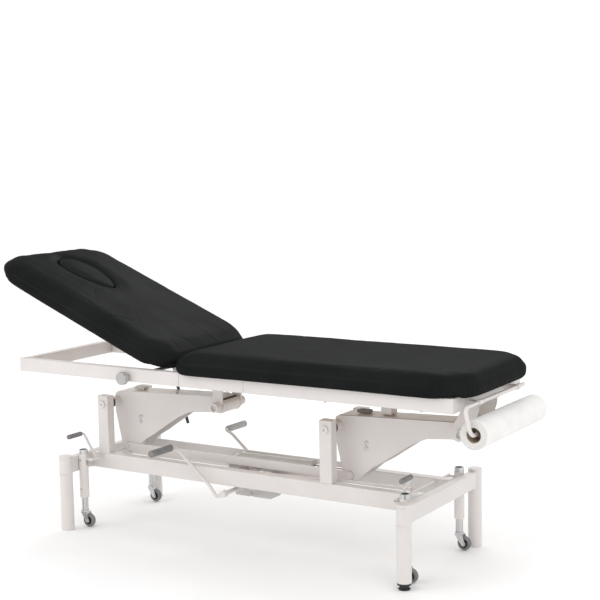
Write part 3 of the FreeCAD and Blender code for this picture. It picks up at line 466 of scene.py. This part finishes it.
def cloth_cushion(name, node, body, voxel, shrink, cap, pinned, finish):
    """Padded cushion from a CAD solid: remeshed, inflated by a cloth simulation and shaped."""
    source = nodes[node]
    mesh = source.data.copy()
    mesh.materials.clear()
    piece = bpy.data.objects.new(name, mesh)
    bpy.context.scene.collection.objects.link(piece)
    bpy.context.view_layer.objects.active = piece
    remesh = piece.modifiers.new("remesh", "REMESH")
    remesh.mode = "VOXEL"
    remesh.voxel_size = voxel
    bpy.ops.object.select_all(action="DESELECT")
    piece.select_set(True)
    bpy.ops.object.modifier_apply(modifier=remesh.name)
    mesh = piece.data
    start = [v.co.copy() for v in mesh.vertices]
    normals = [v.normal.copy() for v in mesh.vertices]
    hold = [pinned(co) for co in start]
    for vertex, normal, held in zip(mesh.vertices, normals, hold):
        vertex.co -= normal * shrink * (1 - held)
    group = piece.vertex_groups.new(name="pin")
    for index, held in enumerate(hold):
        if held > 0:
            group.add([index], held, "REPLACE")
    cloth = piece.modifiers.new("cloth", "CLOTH")
    settings = cloth.settings
    settings.quality = 4
    settings.mass = 0.35
    settings.tension_stiffness = 18
    settings.compression_stiffness = 12
    settings.shear_stiffness = 8
    settings.bending_stiffness = 0.6
    settings.use_pressure = True
    settings.uniform_pressure_force = 4.0
    settings.vertex_group_mass = "pin"
    settings.effector_weights.gravity = 0
    cloth.collision_settings.use_collision = False
    cloth.point_cache.frame_start = 1
    cloth.point_cache.frame_end = 20
    scene = bpy.context.scene
    for number in range(1, 21):
        scene.frame_set(number)
    bpy.ops.object.modifier_apply(modifier=cloth.name)
    scene.frame_set(1)
    mesh = piece.data
    moves = []
    for vertex, home in zip(mesh.vertices, start):
        move = vertex.co - home
        moves.append(move * min(1.0, cap / max(move.length, 1e-6)))
    for vertex, home, move in zip(mesh.vertices, start, even_out(mesh, moves, 18)):
        vertex.co = home + Vector(move)
    relax = piece.modifiers.new("relax", "SMOOTH")
    relax.factor = 0.5
    relax.iterations = 3
    bpy.ops.object.modifier_apply(modifier=relax.name)
    piece.vertex_groups.clear()
    divide = piece.modifiers.new("divide", "SUBSURF")
    divide.levels = 1
    divide.render_levels = 1
    bpy.ops.object.modifier_apply(modifier=divide.name)
    finish(piece.data)
    piece.data.materials.append(VINYL)
    piece.data.shade_smooth()
    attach(piece, body)
    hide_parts(node)
    return piece


class Pad:
    """Flat frame of one cushion: its outline, and the turn that takes it to its stored angle."""

    def __init__(self, span, half_y, heights, corners, angle=0.0, hinge=(0, 0)):
        self.low_x, self.high_x = span
        self.half_y = half_y
        self.bottom, self.top = heights
        self.corners = corners
        self.middle = (self.low_x + self.high_x) / 2
        self.angle, self.hinge = angle, hinge

    def flat(self, co):
        """The point as it is when the cushion lies flat."""
        dx, dz = co.x - self.hinge[0], co.z - self.hinge[1]
        cos, sin = math.cos(self.angle), math.sin(self.angle)
        return Vector((self.hinge[0] + dx * cos - dz * sin, co.y, self.hinge[1] + dx * sin + dz * cos))

    def stored(self, co):
        """The flat point at the stored angle."""
        dx, dz = co.x - self.hinge[0], co.z - self.hinge[1]
        cos, sin = math.cos(self.angle), math.sin(self.angle)
        return Vector((self.hinge[0] + dx * cos + dz * sin, co.y, self.hinge[1] - dx * sin + dz * cos))

    def corner(self, co):
        """Position from the nearest corner arc's centre, positive outwards, and the arc's radius."""
        radius = self.corners[0] if co.x < self.middle else self.corners[1]
        across = abs(co.x - self.middle) - ((self.high_x - self.low_x) / 2 - radius)
        return across, abs(co.y) - (self.half_y - radius), radius

    def inset(self, co):
        """Distance inside the plan outline; negative outside."""
        qx, qy, radius = self.corner(co)
        return radius - math.hypot(max(qx, 0), max(qy, 0)) - min(max(qx, qy), 0)

    def outward(self, co):
        """Unit vector from the cushion's body towards the nearest point of its outline."""
        qx, qy, _ = self.corner(co)
        side = Vector((max(qx, 0), max(qy, 0), 0))
        if side.length < 1e-5:
            side = Vector((1, 0, 0)) if qx > qy else Vector((0, 1, 0))
        side.x = math.copysign(side.x, co.x - self.middle)
        side.y = math.copysign(side.y, co.y)
        return side.normalized()


def step_between(value, low, high):
    """Smooth step from 0 at low to 1 at high."""
    share = min(max((value - low) / (high - low), 0), 1)
    return share * share * (3 - 2 * share)


def shape_pad(pad, seed, hole=None):
    """Function that crowns a cushion, rolls its edges and adds its creases and its tucks."""
    drift = Vector((seed * 3.7, seed * 1.9, seed * 5.3))

    def finish(mesh):
        for vertex in mesh.vertices:
            co = pad.flat(vertex.co)
            inset = pad.inset(co)
            qx, qy, _ = pad.corner(co)
            height = (co.z - pad.bottom) / (pad.top - pad.bottom)
            upper = step_between(height, 0.3, 0.95)
            lift = CROWN * step_between(inset, 0.04, 0.24)
            lift -= EDGE_ROLL * (1 - step_between(inset, -0.01, 0.085))
            if hole is not None:
                lift -= 0.004 * (1 - step_between(hole(co), 0.0, 0.022))
            wave = noise.noise(Vector((co.x * 7, co.y * 16, 0)) + drift) * 0.0012
            wave += noise.noise(Vector((co.x * 30, co.y * 11, 4)) + drift) * 0.00045
            crease = abs(noise.noise(Vector((co.x * 5, co.y * 13, 11)) + drift))
            wave -= 0.0008 * max(0.0, 1 - crease * 14)
            co.z += upper * (lift + wave * step_between(inset, 0.0, 0.06))
            beside = step_between(abs(co.y), FRAME_SIDE + 0.001, FRAME_SIDE + 0.014)
            beyond = step_between(co.x, FRAME_FOOT + 0.003, FRAME_FOOT + 0.02)
            co.z -= OVERHANG * max(beside, beyond) * (1 - step_between(height, 0.0, 0.55))
            side = step_between(0.05 - inset, 0.0, 0.04)
            low = 1 - step_between(height, 0.15, 0.7)
            turn = math.atan2(max(qy, 0), max(qx, 0))
            pleat = 0.0
            if qx > 0 and qy > 0:
                pleat = math.sin(turn * 40 + 1.5 * noise.noise(Vector((turn * 4, seed, 0))))
            fold = noise.noise(Vector((co.x * 26, co.y * 26, height * 1.4 + seed)))
            push = 0.0009 * low * pleat + 0.0011 * fold * (0.35 + low)
            push -= 0.005 * step_between(height, 0.45, 1.0) * step_between(0.04 - inset, 0.0, 0.03)
            co += pad.outward(co) * side * push
            vertex.co = pad.stored(co)
    return finish


def pin_underside(pad, extra=None):
    """How firmly each point is held while the cushion is inflated: 1 on the underside."""
    def pinned(co):
        flat = pad.flat(co)
        inset = pad.inset(flat)
        height = (flat.z - pad.bottom) / (pad.top - pad.bottom)
        held = (1 - step_between(height, 0.2, 0.36)) * step_between(inset, 0.01, 0.03)
        if extra is not None:
            held = max(held, extra(flat))
        return held
    return pinned


def hinge_axis(joint):
    """Where a joint's axis passes, as (x, z)."""
    place = next(j for j in frame["joints"] if j["name"] == joint)["pos_m"]
    return place[0], place[2]


HINGE = hinge_axis("backrest_hinge")
REST_ANGLE = math.radians(22.7)
LOW_CORNER, HIGH_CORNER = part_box("main_cushion")
PAD_BOTTOM, PAD_TOP, PAD_HALF = LOW_CORNER[2], HIGH_CORNER[2], HIGH_CORNER[1]
BACK_FOOT, BACK_LENGTH = HINGE[0] + 0.036, 0.9
MAIN_PAD = Pad((LOW_CORNER[0], HIGH_CORNER[0]), PAD_HALF, (PAD_BOTTOM, PAD_TOP), (0.08, 0.14))
BACK_PAD = Pad((BACK_FOOT - BACK_LENGTH, BACK_FOOT), PAD_HALF, (PAD_BOTTOM, PAD_TOP), (0.135, 0.12),
               REST_ANGLE, HINGE)
FRAME_FOOT, FRAME_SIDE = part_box("frame_cross_foot")[1][0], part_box("frame_rail_far")[1][1]
CROWN, EDGE_ROLL, OVERHANG = 0.0045, 0.011, 0.007
EGG_MIDDLE, EGG_LONG, EGG_WIDE, EGG_SHAPE = HINGE[0] - 0.622, 0.138, 0.076, 0.24


def egg_gap(co):
    """Distance of a flat point outside the egg-shaped face opening; negative inside."""
    along, across = EGG_MIDDLE - co.x, co.y
    turn = math.atan2(across / EGG_WIDE, along / EGG_LONG)
    wide = EGG_WIDE * (1 + EGG_SHAPE * math.cos(turn))
    share = math.hypot(along / EGG_LONG, across / wide)
    return (share - 1) * math.hypot(along, across) / max(share, 1e-4)


def hold_main_end(flat):
    """The head end of the main cushion stays clear of the backrest."""
    return 1 - step_between(flat.x - MAIN_PAD.low_x, 0.012, 0.045)


def hold_back_ends(flat):
    """The hinge end and the face opening of the backrest cushion keep their shape."""
    hinge_end = 1 - step_between(MAIN_PAD.low_x - flat.x, 0.02, 0.06)
    return max(hinge_end, 1 - step_between(egg_gap(flat), 0.004, 0.024))


def hold_plug(flat):
    """Only the top of the plug swells."""
    rise = step_between(flat.z - PAD_BOTTOM, 0.058, 0.07)
    return 1 - rise * step_between(-egg_gap(flat), 0.004, 0.016)


def shape_plug(mesh):
    """Crown the plug and crease it just inside its rim."""
    for vertex in mesh.vertices:
        co = BACK_PAD.flat(vertex.co)
        inside = -egg_gap(co)
        upper = step_between(co.z - PAD_BOTTOM, 0.055, 0.068)
        lift = 0.004 * step_between(inside, 0.0, 0.05)
        lift -= 0.0009 * math.exp(-((inside - 0.011) / 0.003) ** 2)
        lift += noise.noise(Vector((co.x * 16, co.y * 24, 9))) * 0.0006
        co.z += upper * lift
        vertex.co = BACK_PAD.stored(co)


def add_cushions():
    """The two cushions and the plug of the face opening."""
    cloth_cushion("main_cushion_cover", "main_cushion", "upper_frame", voxel=0.0075, shrink=0.0025,
                  cap=0.007, pinned=pin_underside(MAIN_PAD, hold_main_end), finish=shape_pad(MAIN_PAD, 1))
    cloth_cushion("backrest_cushion_cover", "backrest_cushion", "backrest", voxel=0.006, shrink=0.0025,
                  cap=0.007, pinned=pin_underside(BACK_PAD, hold_back_ends),
                  finish=shape_pad(BACK_PAD, 2, egg_gap))
    cloth_cushion("face_plug_cover", "face_plug", "face_plug", voxel=0.0045, shrink=0.001, cap=0.006,
                  pinned=hold_plug, finish=shape_plug)


def board_hem(work, low, high, place):
    """Strip of vinyl turned over the edge of a board."""
    radius, width, proud = 0.03, 0.014, 0.0005
    steps = 10
    ring = []
    for quarter, (sx, sy) in enumerate(((1, 1), (-1, 1), (-1, -1), (1, -1))):
        corner_x = (high[0] if sx > 0 else low[0]) - sx * radius
        corner_y = (high[1] if sy > 0 else low[1]) - sy * radius
        for step in range(steps + 1):
            angle = math.radians(90) * (quarter + step / steps)
            ring.append((corner_x, corner_y, math.cos(angle), math.sin(angle)))
    loops = []
    inner = radius - width
    for reach, drop in ((radius, 0.0003), (radius, -proud), (inner, -proud), (inner, 0.0003)):
        loops.append([work.verts.new(place(Vector((x + cx * reach, y + cy * reach, PAD_BOTTOM + drop))))
                      for x, y, cx, cy in ring])
    count = len(ring)
    for index in range(len(loops)):
        first, second = loops[index], loops[(index + 1) % len(loops)]
        for spot in range(count):
            after = (spot + 1) % count
            work.faces.new((first[spot], first[after], second[after], second[spot]))


def board_staples(work, low, high, place, skip):
    """Staples through the hem, at an even pitch."""
    inset, pitch, half, thick, proud = 0.009, 0.034, 0.0055, 0.0006, 0.0008
    runs = []
    length, width = high[0] - low[0], high[1] - low[1]
    for index in range(int((length - 0.08) / pitch)):
        x = low[0] + 0.04 + index * pitch
        runs += [(x, low[1] + inset, 1, 0), (x, high[1] - inset, 1, 0)]
    for index in range(int((width - 0.08) / pitch)):
        y = low[1] + 0.04 + index * pitch
        runs += [(low[0] + inset, y, 0, 1), (high[0] - inset, y, 0, 1)]
    for x, y, along_x, along_y in runs:
        if skip(x, y):
            continue
        tilt = 0.25 * noise.noise(Vector((x * 90, y * 90, 3)))
        dx = Vector((along_x, along_y + tilt * along_x, 0)).normalized() * half
        dy = Vector((-dx.y, dx.x, 0)).normalized() * thick
        corners = []
        for z in (PAD_BOTTOM + 0.0002, PAD_BOTTOM - proud):
            for a, b in ((1, 1), (-1, 1), (-1, -1), (1, -1)):
                corners.append(work.verts.new(place(Vector((x, y, z)) + dx * a + dy * b)))
        close_box(work, corners)


def add_board_trim():
    """Hem and staples under both boards."""
    inset = 0.062
    for name, pad, body in (("main", MAIN_PAD, "upper_frame"), ("backrest", BACK_PAD, "backrest")):
        low = (pad.low_x + inset, -PAD_HALF + inset)
        high = (pad.high_x - inset, PAD_HALF - inset)

        def near_hinge(x, y):
            return pad is BACK_PAD and x > pad.high_x - inset - 0.07 and abs(abs(y) - 0.195) < 0.02

        def hem(work):
            board_hem(work, low, high, pad.stored)

        def staples(work):
            board_staples(work, low, high, pad.stored, near_hinge)

        add_built(name + "_board_hem", hem, VINYL, body)
        add_built(name + "_board_staples", staples, ZINC, body)


# ---- castors and feet

WHEEL_PROFILE = [(0.0165, -0.0088), (0.0205, -0.0092), (0.0232, -0.0082), (0.0244, -0.006), (0.0249, -0.003),
                 (0.025, 0), (0.0249, 0.003), (0.0244, 0.006), (0.0232, 0.0082), (0.0205, 0.0092),
                 (0.0165, 0.0088), (0.016, 0), (0.0165, -0.0088)]
HUB_PROFILE = [(0.0042, -0.0098), (0.0078, -0.0098), (0.0084, -0.0086), (0.009, -0.0052), (0.0135, -0.0052),
               (0.0146, -0.0086), (0.0164, -0.0086), (0.0166, 0), (0.0164, 0.0086), (0.0146, 0.0086),
               (0.0135, 0.0052), (0.009, 0.0052), (0.0084, 0.0086), (0.0078, 0.0098), (0.0042, 0.0098),
               (0.0042, -0.0098)]


CROWN_BAND = [(0.0145, 0.0585), (0.0162, 0.0592), (0.0166, 0.0612), (0.0162, 0.0632), (0.0145, 0.0638)]
STEM_RADIUS = 0.013


def castor_places():
    """Name of each corner with the (x, y) and the top of its plunger."""
    for end in ENDS:
        for hand in HANDS:
            name = end + "_" + hand
            low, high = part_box("castor_stem_" + name)
            x = high[0] - STEM_RADIUS if end == "foot" else low[0] + STEM_RADIUS
            yield name, x, (low[1] + high[1]) / 2, high[2]


def add_castors():
    """Tyre, hub, axle nuts and plunger cap of each castor."""
    for name, x, y, stem_top in castor_places():
        low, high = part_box("castor_wheel_" + name)
        middle = [(low[i] + high[i]) / 2 for i in range(3)]
        axis = (0, 1, 0)
        wheel = "castor_wheel_" + name
        piece = add_turned("castor_tyre_" + name, WHEEL_PROFILE, middle, axis, 56, TYRE, wheel,
                           50)
        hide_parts("castor_wheel_" + name)
        piece = add_turned("castor_hub_" + name, HUB_PROFILE, middle, axis, 40, BLACK_PLASTIC, wheel)
        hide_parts("castor_wheel_" + name)

        def nuts(work):
            for side in SIDES:
                spot = (middle[0], y + side * 0.017, middle[2])
                hex_head(work, spot, (0, side, 0), 0.0085, 0.0022)
            lathe(work, CROWN_BAND, (x, y, 0), (0, 0, 1), 40)

        add_built("castor_nuts_" + name, nuts, CHROME, "castor_fork_" + name)
        rim = [(0.0, 0.0), (0.0126, 0.0), (0.0122, 0.0006), (0.007, 0.0008), (0.0066, 0.0003), (0.0, 0.0003)]
        add_turned("castor_cap_" + name, rim, (x, y, stem_top), (0, 0, 1), 32, BLACK_PLASTIC,
                   "castor_stem_" + name)


def add_levelling_foot():
    """Threaded spindle with a ribbed rubber pad, under the plug of the short leg."""
    low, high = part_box("levelling_foot")
    x, y = (low[0] + high[0]) / 2, (low[1] + high[1]) / 2
    rubber = [(0, 0), (0.018, 0), (0.0194, 0.0006), (0.02, 0.0018), (0.02, 0.0038), (0.0192, 0.0048),
              (0.0162, 0.0052), (0.0158, 0.0066), (0.016, 0.0072), (0.016, 0.0096), (0.0154, 0.0102),
              (0.016, 0.0108), (0.016, 0.0132), (0.0152, 0.0152), (0.014, 0.016), (0, 0.016)]
    piece = add_turned("levelling_pad", rubber, (x, y, 0), (0, 0, 1), 48, BLACK_RUBBER, "levelling_foot")
    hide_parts("levelling_foot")

    def spindle(work):
        bottom, top, pitch = 0.0158, high[2] - 0.0004, 0.00175
        profile = [(0, bottom)]
        z = bottom
        while z < top - pitch:
            profile += [(0.0043, z), (0.005, z + pitch / 2)]
            z += pitch
        profile += [(0.0043, top), (0, top)]
        lathe(work, profile, (x, y, 0), (0, 0, 1), 28)

    piece = add_built("levelling_spindle", spindle, ZINC, "levelling_foot", 75)
    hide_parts("levelling_foot")


# ---- welds, bolts and fittings

def add_beads(name, body, runs, radius=0.0016):
    """Weld beads along straight or curved runs of points."""
    def build(work):
        for run in runs:
            dense = []
            for start, end in zip(run, run[1:]):
                start, end = Vector(start), Vector(end)
                count = max(int((end - start).length / 0.0012), 1)
                dense += [start.lerp(end, step / count) for step in range(count)]
            dense.append(Vector(run[-1]))
            tube_along(work, dense, radius, 8, 0.22, 0.0042)

    add_built(name, build, WHITE, body, 60)


def circle(middle, axis, radius, start=0.0, end=360.0, steps=40):
    """Points on an arc about an axis."""
    turn = Vector(axis).to_track_quat("Z", "Y").to_matrix()
    points = []
    for step in range(steps + 1):
        angle = math.radians(start + (end - start) * step / steps)
        points.append(Vector(middle) + turn @ Vector((math.cos(angle), math.sin(angle), 0)) * radius)
    return points


RAIL_INNER = 0.24


def add_frame_welds():
    """Beads at the mitres of the upper frame and round its brackets."""
    runs = []
    low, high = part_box("frame_rail_near")
    bottom, top = low[2], high[2]
    for x, inward in ((low[0], 1), (high[0], -1)):
        for hand in HANDS:
            side = -1 if hand == "near" else 1
            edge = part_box("frame_rail_" + hand)[0 if side < 0 else 1][1]
            corner = Vector((x + inward * 0.0012, edge - side * 0.0012, 0))
            inner = Vector((x + inward * 0.03, edge - side * 0.03, 0))
            for z in (bottom, top):
                runs.append([corner + Vector((0, 0, z)), inner + Vector((0, 0, z))])
            runs.append([inner + Vector((0, 0, bottom + 0.002)), inner + Vector((0, 0, top - 0.002))])
    for node in ("hinge_cross", "stop_block"):
        low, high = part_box(node)
        middle = high[0] - 0.02 if node == "hinge_cross" else box_middle(node).x
        x_pair = (middle - 0.02, middle + 0.02)
        for side in SIDES:
            y = side * (RAIL_INNER - 0.0006)
            for x in x_pair:
                runs.append([(x, y, bottom + 0.007), (x, y, top - 0.005)])
            runs.append([(x_pair[0], y, bottom + 0.006), (x_pair[1], y, bottom + 0.006)])
    low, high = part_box("foot_gussets")
    for side in SIDES:
        for face in (0.0678, 0.0762):
            y, z = side * face, bottom - 0.0055
            runs.append([(low[0] + 0.05, y, z), (high[0] - 0.004, y, z)])
    low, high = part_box("head_hanger")
    for side in SIDES:
        for face in (0.0578, 0.0662):
            y, z = side * face, high[2] - 0.0006
            runs.append([(low[0] + 0.003, y, z), (high[0] - 0.003, y, z)])
    add_beads("frame_welds", "upper_frame", runs)


def add_base_welds():
    """Beads where posts, rails, legs and castor sleeves meet."""
    runs = []
    rail_low, rail_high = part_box("base_rail_near")
    posts_low, posts_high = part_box("pivot_posts")
    half = 0.025
    post_x = (posts_low[0] + half, posts_high[0] - half)
    inner, outer = abs(rail_high[1]), abs(rail_low[1])
    for x in post_x:
        for side in SIDES:
            edges = (side * inner, side * outer)
            z = rail_high[2]
            for y in edges:
                runs.append([(x - half, y, z), (x + half, y, z)])
            for end in SIDES:
                runs.append([(x + end * half, edges[0], z), (x + end * half, edges[1], z)])
    for end in ENDS:
        cross_low, cross_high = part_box("base_cross_" + end)
        face = cross_low[0] if end == "foot" else cross_high[0]
        for side in SIDES:
            for y in (side * inner, side * outer):
                runs.append([(face, y, rail_low[2]), (face, y, rail_high[2])])
            for z in (rail_low[2], rail_high[2]):
                runs.append([(face, side * inner, z), (face, side * outer, z)])
        for hand in HANDS:
            side = -1 if hand == "near" else 1
            leg = box_middle("leg_" + end + "_" + hand)
            for z in (cross_low[2] + 0.0004, cross_high[2] - 0.0004):
                centre = (leg.x, leg.y, z)
                start = 90 if side < 0 else 270
                runs.append(circle(centre, (0, 0, 1), 0.0255, start - 40, start + 40, 16))
    for _, x, y, _ in castor_places():
        end = 1 if x > 0 else -1
        cross_low, cross_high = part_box("base_cross_" + ("foot" if end > 0 else "head"))
        face = cross_low[0] if end > 0 else cross_high[0]
        for shift in SIDES:
            beside = y + shift * 0.0185
            runs.append([(face, beside, cross_low[2] + 0.002), (face, beside, cross_high[2] - 0.002)])
    add_beads("base_welds", "base", runs, 0.0018)


def add_crank_trim():
    """Bearing washers, boss welds and bolts of both cranks."""
    bolts_low, bolts_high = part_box("pivot_bolts")
    head_r = 0.014
    z = bolts_low[2] + head_r
    for end, x in (("head", bolts_low[0] + head_r), ("foot", bolts_high[0] - head_r)):
        body = "crank_" + end

        def rings(work):
            profile = [(0.0201, 0.0), (0.0222, 0.0), (0.0228, 0.0006), (0.0228, 0.0066), (0.0222, 0.0072),
                       (0.0201, 0.0072), (0.0201, 0.0)]
            for side in SIDES:
                lathe(work, profile, (x, side * 0.088, z), (0, side, 0), 48)

        add_built("bearing_rings_" + end, rings, BLACK_PLASTIC, body)
        runs = []
        for side in SIDES:
            y = side * 0.0482
            runs.append(circle((x, y, z), (0, 1, 0), 0.0203))
            runs.append(circle((x + 0.045, y, z - 0.175), (0, 1, 0), 0.0172, 0, 360, 30))
            runs.append(circle((x + 0.49, y, z + 0.021), (0, 1, 0), 0.0262, 0, 360, 36))
        add_beads("crank_welds_" + end, body, runs, 0.0014)

        def heads(work):
            for side in SIDES:
                for dx, dz in ((0.114, -0.052), (0.113, -0.071)):
                    dome_head(work, (x + dx, side * 0.052, z + dz), (0, side, 0), 0.0062, 0.003)

        add_built("crank_bolts_" + end, heads, ZINC, body)


ARM_PIN_X, ARM_PIN_Z = {"head": -0.158, "foot": 0.838}, 0.489


def add_pin_ends():
    """Open tube ends on the arm pins."""
    for name, node, outer in (("head", "head_hanger", 0.018), ("foot", "foot_gussets", 0.016)):
        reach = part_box(node)[1][1] if name == "head" else 0.084
        x = LEGS_X + ARM_PIN_X[name]

        def sockets(work):
            for side in SIDES:
                profile = [(0.0, 0.0001), (0.0118, 0.0001), (0.0122, 0.0104), (0.0128, 0.011),
                           (outer - 0.0009, 0.011), (outer - 0.0002, 0.0102), (outer - 0.0001, -0.004)]
                lathe(work, profile, (x, side * reach, ARM_PIN_Z), (0, side, 0), 44)

        add_built("arm_pin_ends_" + name, sockets, WHITE, "upper_frame")


def add_crank_lines():
    """Wear strip on the head crank's arm tube, and a dark strip along the foot crank's top that paints the shadow
    in its fold.
    """
    def tube_strip(work):
        radius, spread = 0.0262, 0.2
        middle = Vector((LEGS_X + ARM_PIN_X["head"], 0, ARM_PIN_Z))
        rows = []
        for step in range(9):
            angle = math.radians(72) + spread * (step / 8 - 0.5) * 2
            for reach in (radius, radius + 0.0006):
                spot = middle + reach * Vector((math.cos(angle), 0, math.sin(angle)))
                rows.append([work.verts.new(spot + Vector((0, y, 0))) for y in (-0.042, 0.05)])
        for step in range(8):
            sheet_step(work, *rows[2 * step:2 * step + 4])
        for a, b in ((rows[0], rows[1]), (rows[-2], rows[-1])):
            work.faces.new((a[0], a[1], b[1], b[0]))

    add_built("arm_tube_strip", tube_strip, BLACK_RUBBER, "crank_head")

    # Dark grey strip along the top of the foot crank: painted shadow of the gap at the fold.
    def fold_shadow_strip(work):
        x = LEGS_X + 0.348
        for side in SIDES:
            y = side * 0.04805
            for start, end in (((0.006, 0.5045), (0.04, 0.5065)), ((0.04, 0.5065), (0.46, 0.5215))):
                ends = (x + start[0], y, start[1]), (x + end[0], y, end[1])
                strip(work, *ends, (0, 0, 1), 0.0022, (0, side, 0), 0.0003)

    add_built("crank_fold_painted_shadow", fold_shadow_strip, GREY_RUBBER, "crank_foot")


def add_fasteners():
    """Bolt heads, nuts and clamp screws."""
    rail_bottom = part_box("base_rail_near")[0][2]
    low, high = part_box("frame_rail_near")

    def base_bolts(work):
        for side in SIDES:
            for x in (LEGS_X - 0.017, LEGS_X + 0.029):
                hex_head(work, (x, side * 0.12, rail_bottom - 0.006), (0, 0, -1), 0.010, 0.004, 0.0012)
        for _, x, y, _ in castor_places():
            outward = 1 if y > 0 else -1
            dome_head(work, (x, y + outward * 0.0178, 0.262), (0, outward, 0), 0.0042, 0.0028)
            dome_head(work, (x, y + outward * 0.0178, 0.148), (0, outward, 0), 0.0042, 0.0028)
        for dx in SIDES:
            for dy in SIDES:
                place = (LEGS_X - 0.113 + dx * 0.036, dy * 0.082, 0.234)
                hex_head(work, place, (0, 0, 1), 0.010, 0.0045, 0.0012)

    add_built("base_bolts", base_bolts, ZINC, "base")

    def frame_bolts(work):
        for x in (0.02, 0.42, 0.78):
            for side in SIDES:
                hex_head(work, (LEGS_X + x, side * 0.255, low[2]), (0, 0, -1), 0.011, 0.0045, 0.0012)

    add_built("frame_bolts", frame_bolts, ZINC, "upper_frame")

    def rail_seams(work):
        for x in (LEGS_X - 0.18, LEGS_X + 0.099):
            for side in SIDES:
                y = side * (0.00012 - low[1])
                ends = (x, y, low[2] + 0.002), (x, y, high[2] - 0.002)
                strip(work, *ends, (1, 0, 0), 0.0009, (0, side, 0), 0.0002)

    add_built("rail_seams", rail_seams, GREY_RUBBER, "upper_frame")


def strip(work, start, end, across, width, out, thick):
    """Thin flat bar from start to end, laid on a face."""
    start, end = Vector(start), Vector(end)
    across, out = Vector(across) * width / 2, Vector(out) * thick
    corners = []
    for spot in (start, end):
        for a, b in ((1, 0), (-1, 0), (-1, 1), (1, 1)):
            corners.append(work.verts.new(spot + across * a + out * b))
    close_box(work, corners)


def ribbed_profile(radius, length, ribs, depth):
    """Profile of a ribbed sleeve with rounded ends."""
    profile = [(0.0, 0.0), (radius - 0.003, 0.0), (radius - 0.0008, 0.0012), (radius, 0.0035)]
    pitch = (length - 0.012) / ribs
    for rib in range(ribs):
        start = 0.006 + rib * pitch
        profile += [(radius - depth, start), (radius - depth, start + pitch * 0.25),
                    (radius - depth * 0.2, start + pitch * 0.36), (radius, start + pitch * 0.5),
                    (radius - depth * 0.2, start + pitch * 0.86)]
    profile += [(radius, length - 0.0035), (radius - 0.0008, length - 0.0012), (radius - 0.003, length),
                (0.0, length)]
    return profile


def add_grips():
    """Ribbed rubber grips of the pedal and the castor levers, and the cap of the knob."""
    low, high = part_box("pump_grips")
    x, z = (low[0] + high[0]) / 2, (low[2] + high[2]) / 2
    inner = 0.182
    for hand, side, material in (("near", -1, GREY_RUBBER), ("far", 1, LIGHT_GREY)):
        profile = ribbed_profile(0.0131, high[1] - inner, 10, 0.0018)
        piece = add_turned("pump_grip_" + hand, profile, (x, side * inner, z), (0, side, 0), 40, material,
                           "pedal")
        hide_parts("pump_grips")
    for end in ENDS:
        low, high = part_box("castor_grip_" + end)
        middle = (low + high) / 2
        profile = ribbed_profile(0.0092, high[1] - low[1], 7, 0.0009)
        outer_end = (middle.x, high[1], middle.z)
        piece = add_turned("castor_handle_grip_" + end, profile, outer_end, (0, -1, 0), 36, GREY_RUBBER,
                           "castor_lever_" + end)
        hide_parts("castor_grip_" + end)
    low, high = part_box("hand_knob")
    middle = (low + high) / 2
    cap = [(0.0, 0.0004), (0.0125, 0.0004), (0.0135, 0.0001), (0.0142, 0.0008), (0.0158, 0.0008),
           (0.0164, -0.0004)]
    add_turned("knob_cap", cap, (middle.x, low[1], middle.z), (0, -1, 0), 36, GREY_PLASTIC,
               "backrest_release")
    ring = [(0.0121, 0.0), (0.0135, 0.0004), (0.0135, 0.0056), (0.0121, 0.006)]
    inner_end = (middle.x, high[1] - 0.0005, middle.z)
    add_turned("knob_ring", ring, inner_end, (0, -1, 0), 36, BLACK_RUBBER, "backrest_release")


# ---- paper roll

def add_paper_roll():
    """Wound roll with layered ends and a loose last turn on a card core."""
    low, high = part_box("paper_roll")
    middle = (low + high) / 2
    radius = (high[2] - low[2]) / 2
    core = 0.024
    length = high[1] - low[1]
    layers = 34
    inner, rim = core + 0.0012, radius - 0.0004
    profile = [(inner, 0.004)]
    for layer in range(layers):
        reach = inner + (rim - inner) * (layer + 0.5) / layers
        edge = 0.0009 + 0.0005 * math.sin(layer * 2.4) + 0.0004 * math.sin(layer * 0.7)
        profile += [(reach - 0.0002, edge + 0.0004), (reach, edge)]
    profile += [(radius - 0.0012, 0.0003), (rim, 0.0012)]
    mirrored = [(r, length - a) for r, a in reversed(profile)]
    start = (middle.x, low[1], middle.z)
    profile += mirrored + profile[:1]
    piece = add_turned("paper_winding", profile, start, (0, 1, 0), 84, PAPER, "paper_roll", 35)
    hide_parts("paper_roll")
    inset = 0.0022
    tube = [(inner, inset), (inner, length - inset), (core, length - inset), (core, inset), (inner, inset)]
    piece = add_turned("paper_core", tube, start, (0, 1, 0), 60, CARD, "paper_roll")
    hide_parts("paper_roll")

    def tail(work):
        rows = []
        for step in range(41):
            share = step / 40
            angle = math.radians(60 - 150 * share)
            lift = radius - 0.0003 - 0.0001 * share
            for layer in (0, 1):
                reach = min(lift + 0.0003 * layer, radius)
                x, z = middle.x - reach * math.sin(angle), middle.z + reach * math.cos(angle)
                rows.append([work.verts.new((x, y, z)) for y in (low[1] + 0.0015, high[1] - 0.0015)])
        for step in range(40):
            sheet_step(work, *rows[2 * step:2 * step + 4])
        work.faces.new((rows[0][0], rows[1][0], rows[1][1], rows[0][1]))
        work.faces.new((rows[80][0], rows[80][1], rows[81][1], rows[81][0]))

    add_built("paper_tail", tail, PAPER, "paper_roll", 50)


# ---- whole scene

add_camera()
add_studio()
dress_nodes()
add_cushions()
add_board_trim()
add_castors()
add_levelling_foot()
add_frame_welds()
add_base_welds()
add_crank_trim()
add_pin_ends()
add_crank_lines()
add_fasteners()
add_grips()
add_paper_roll()
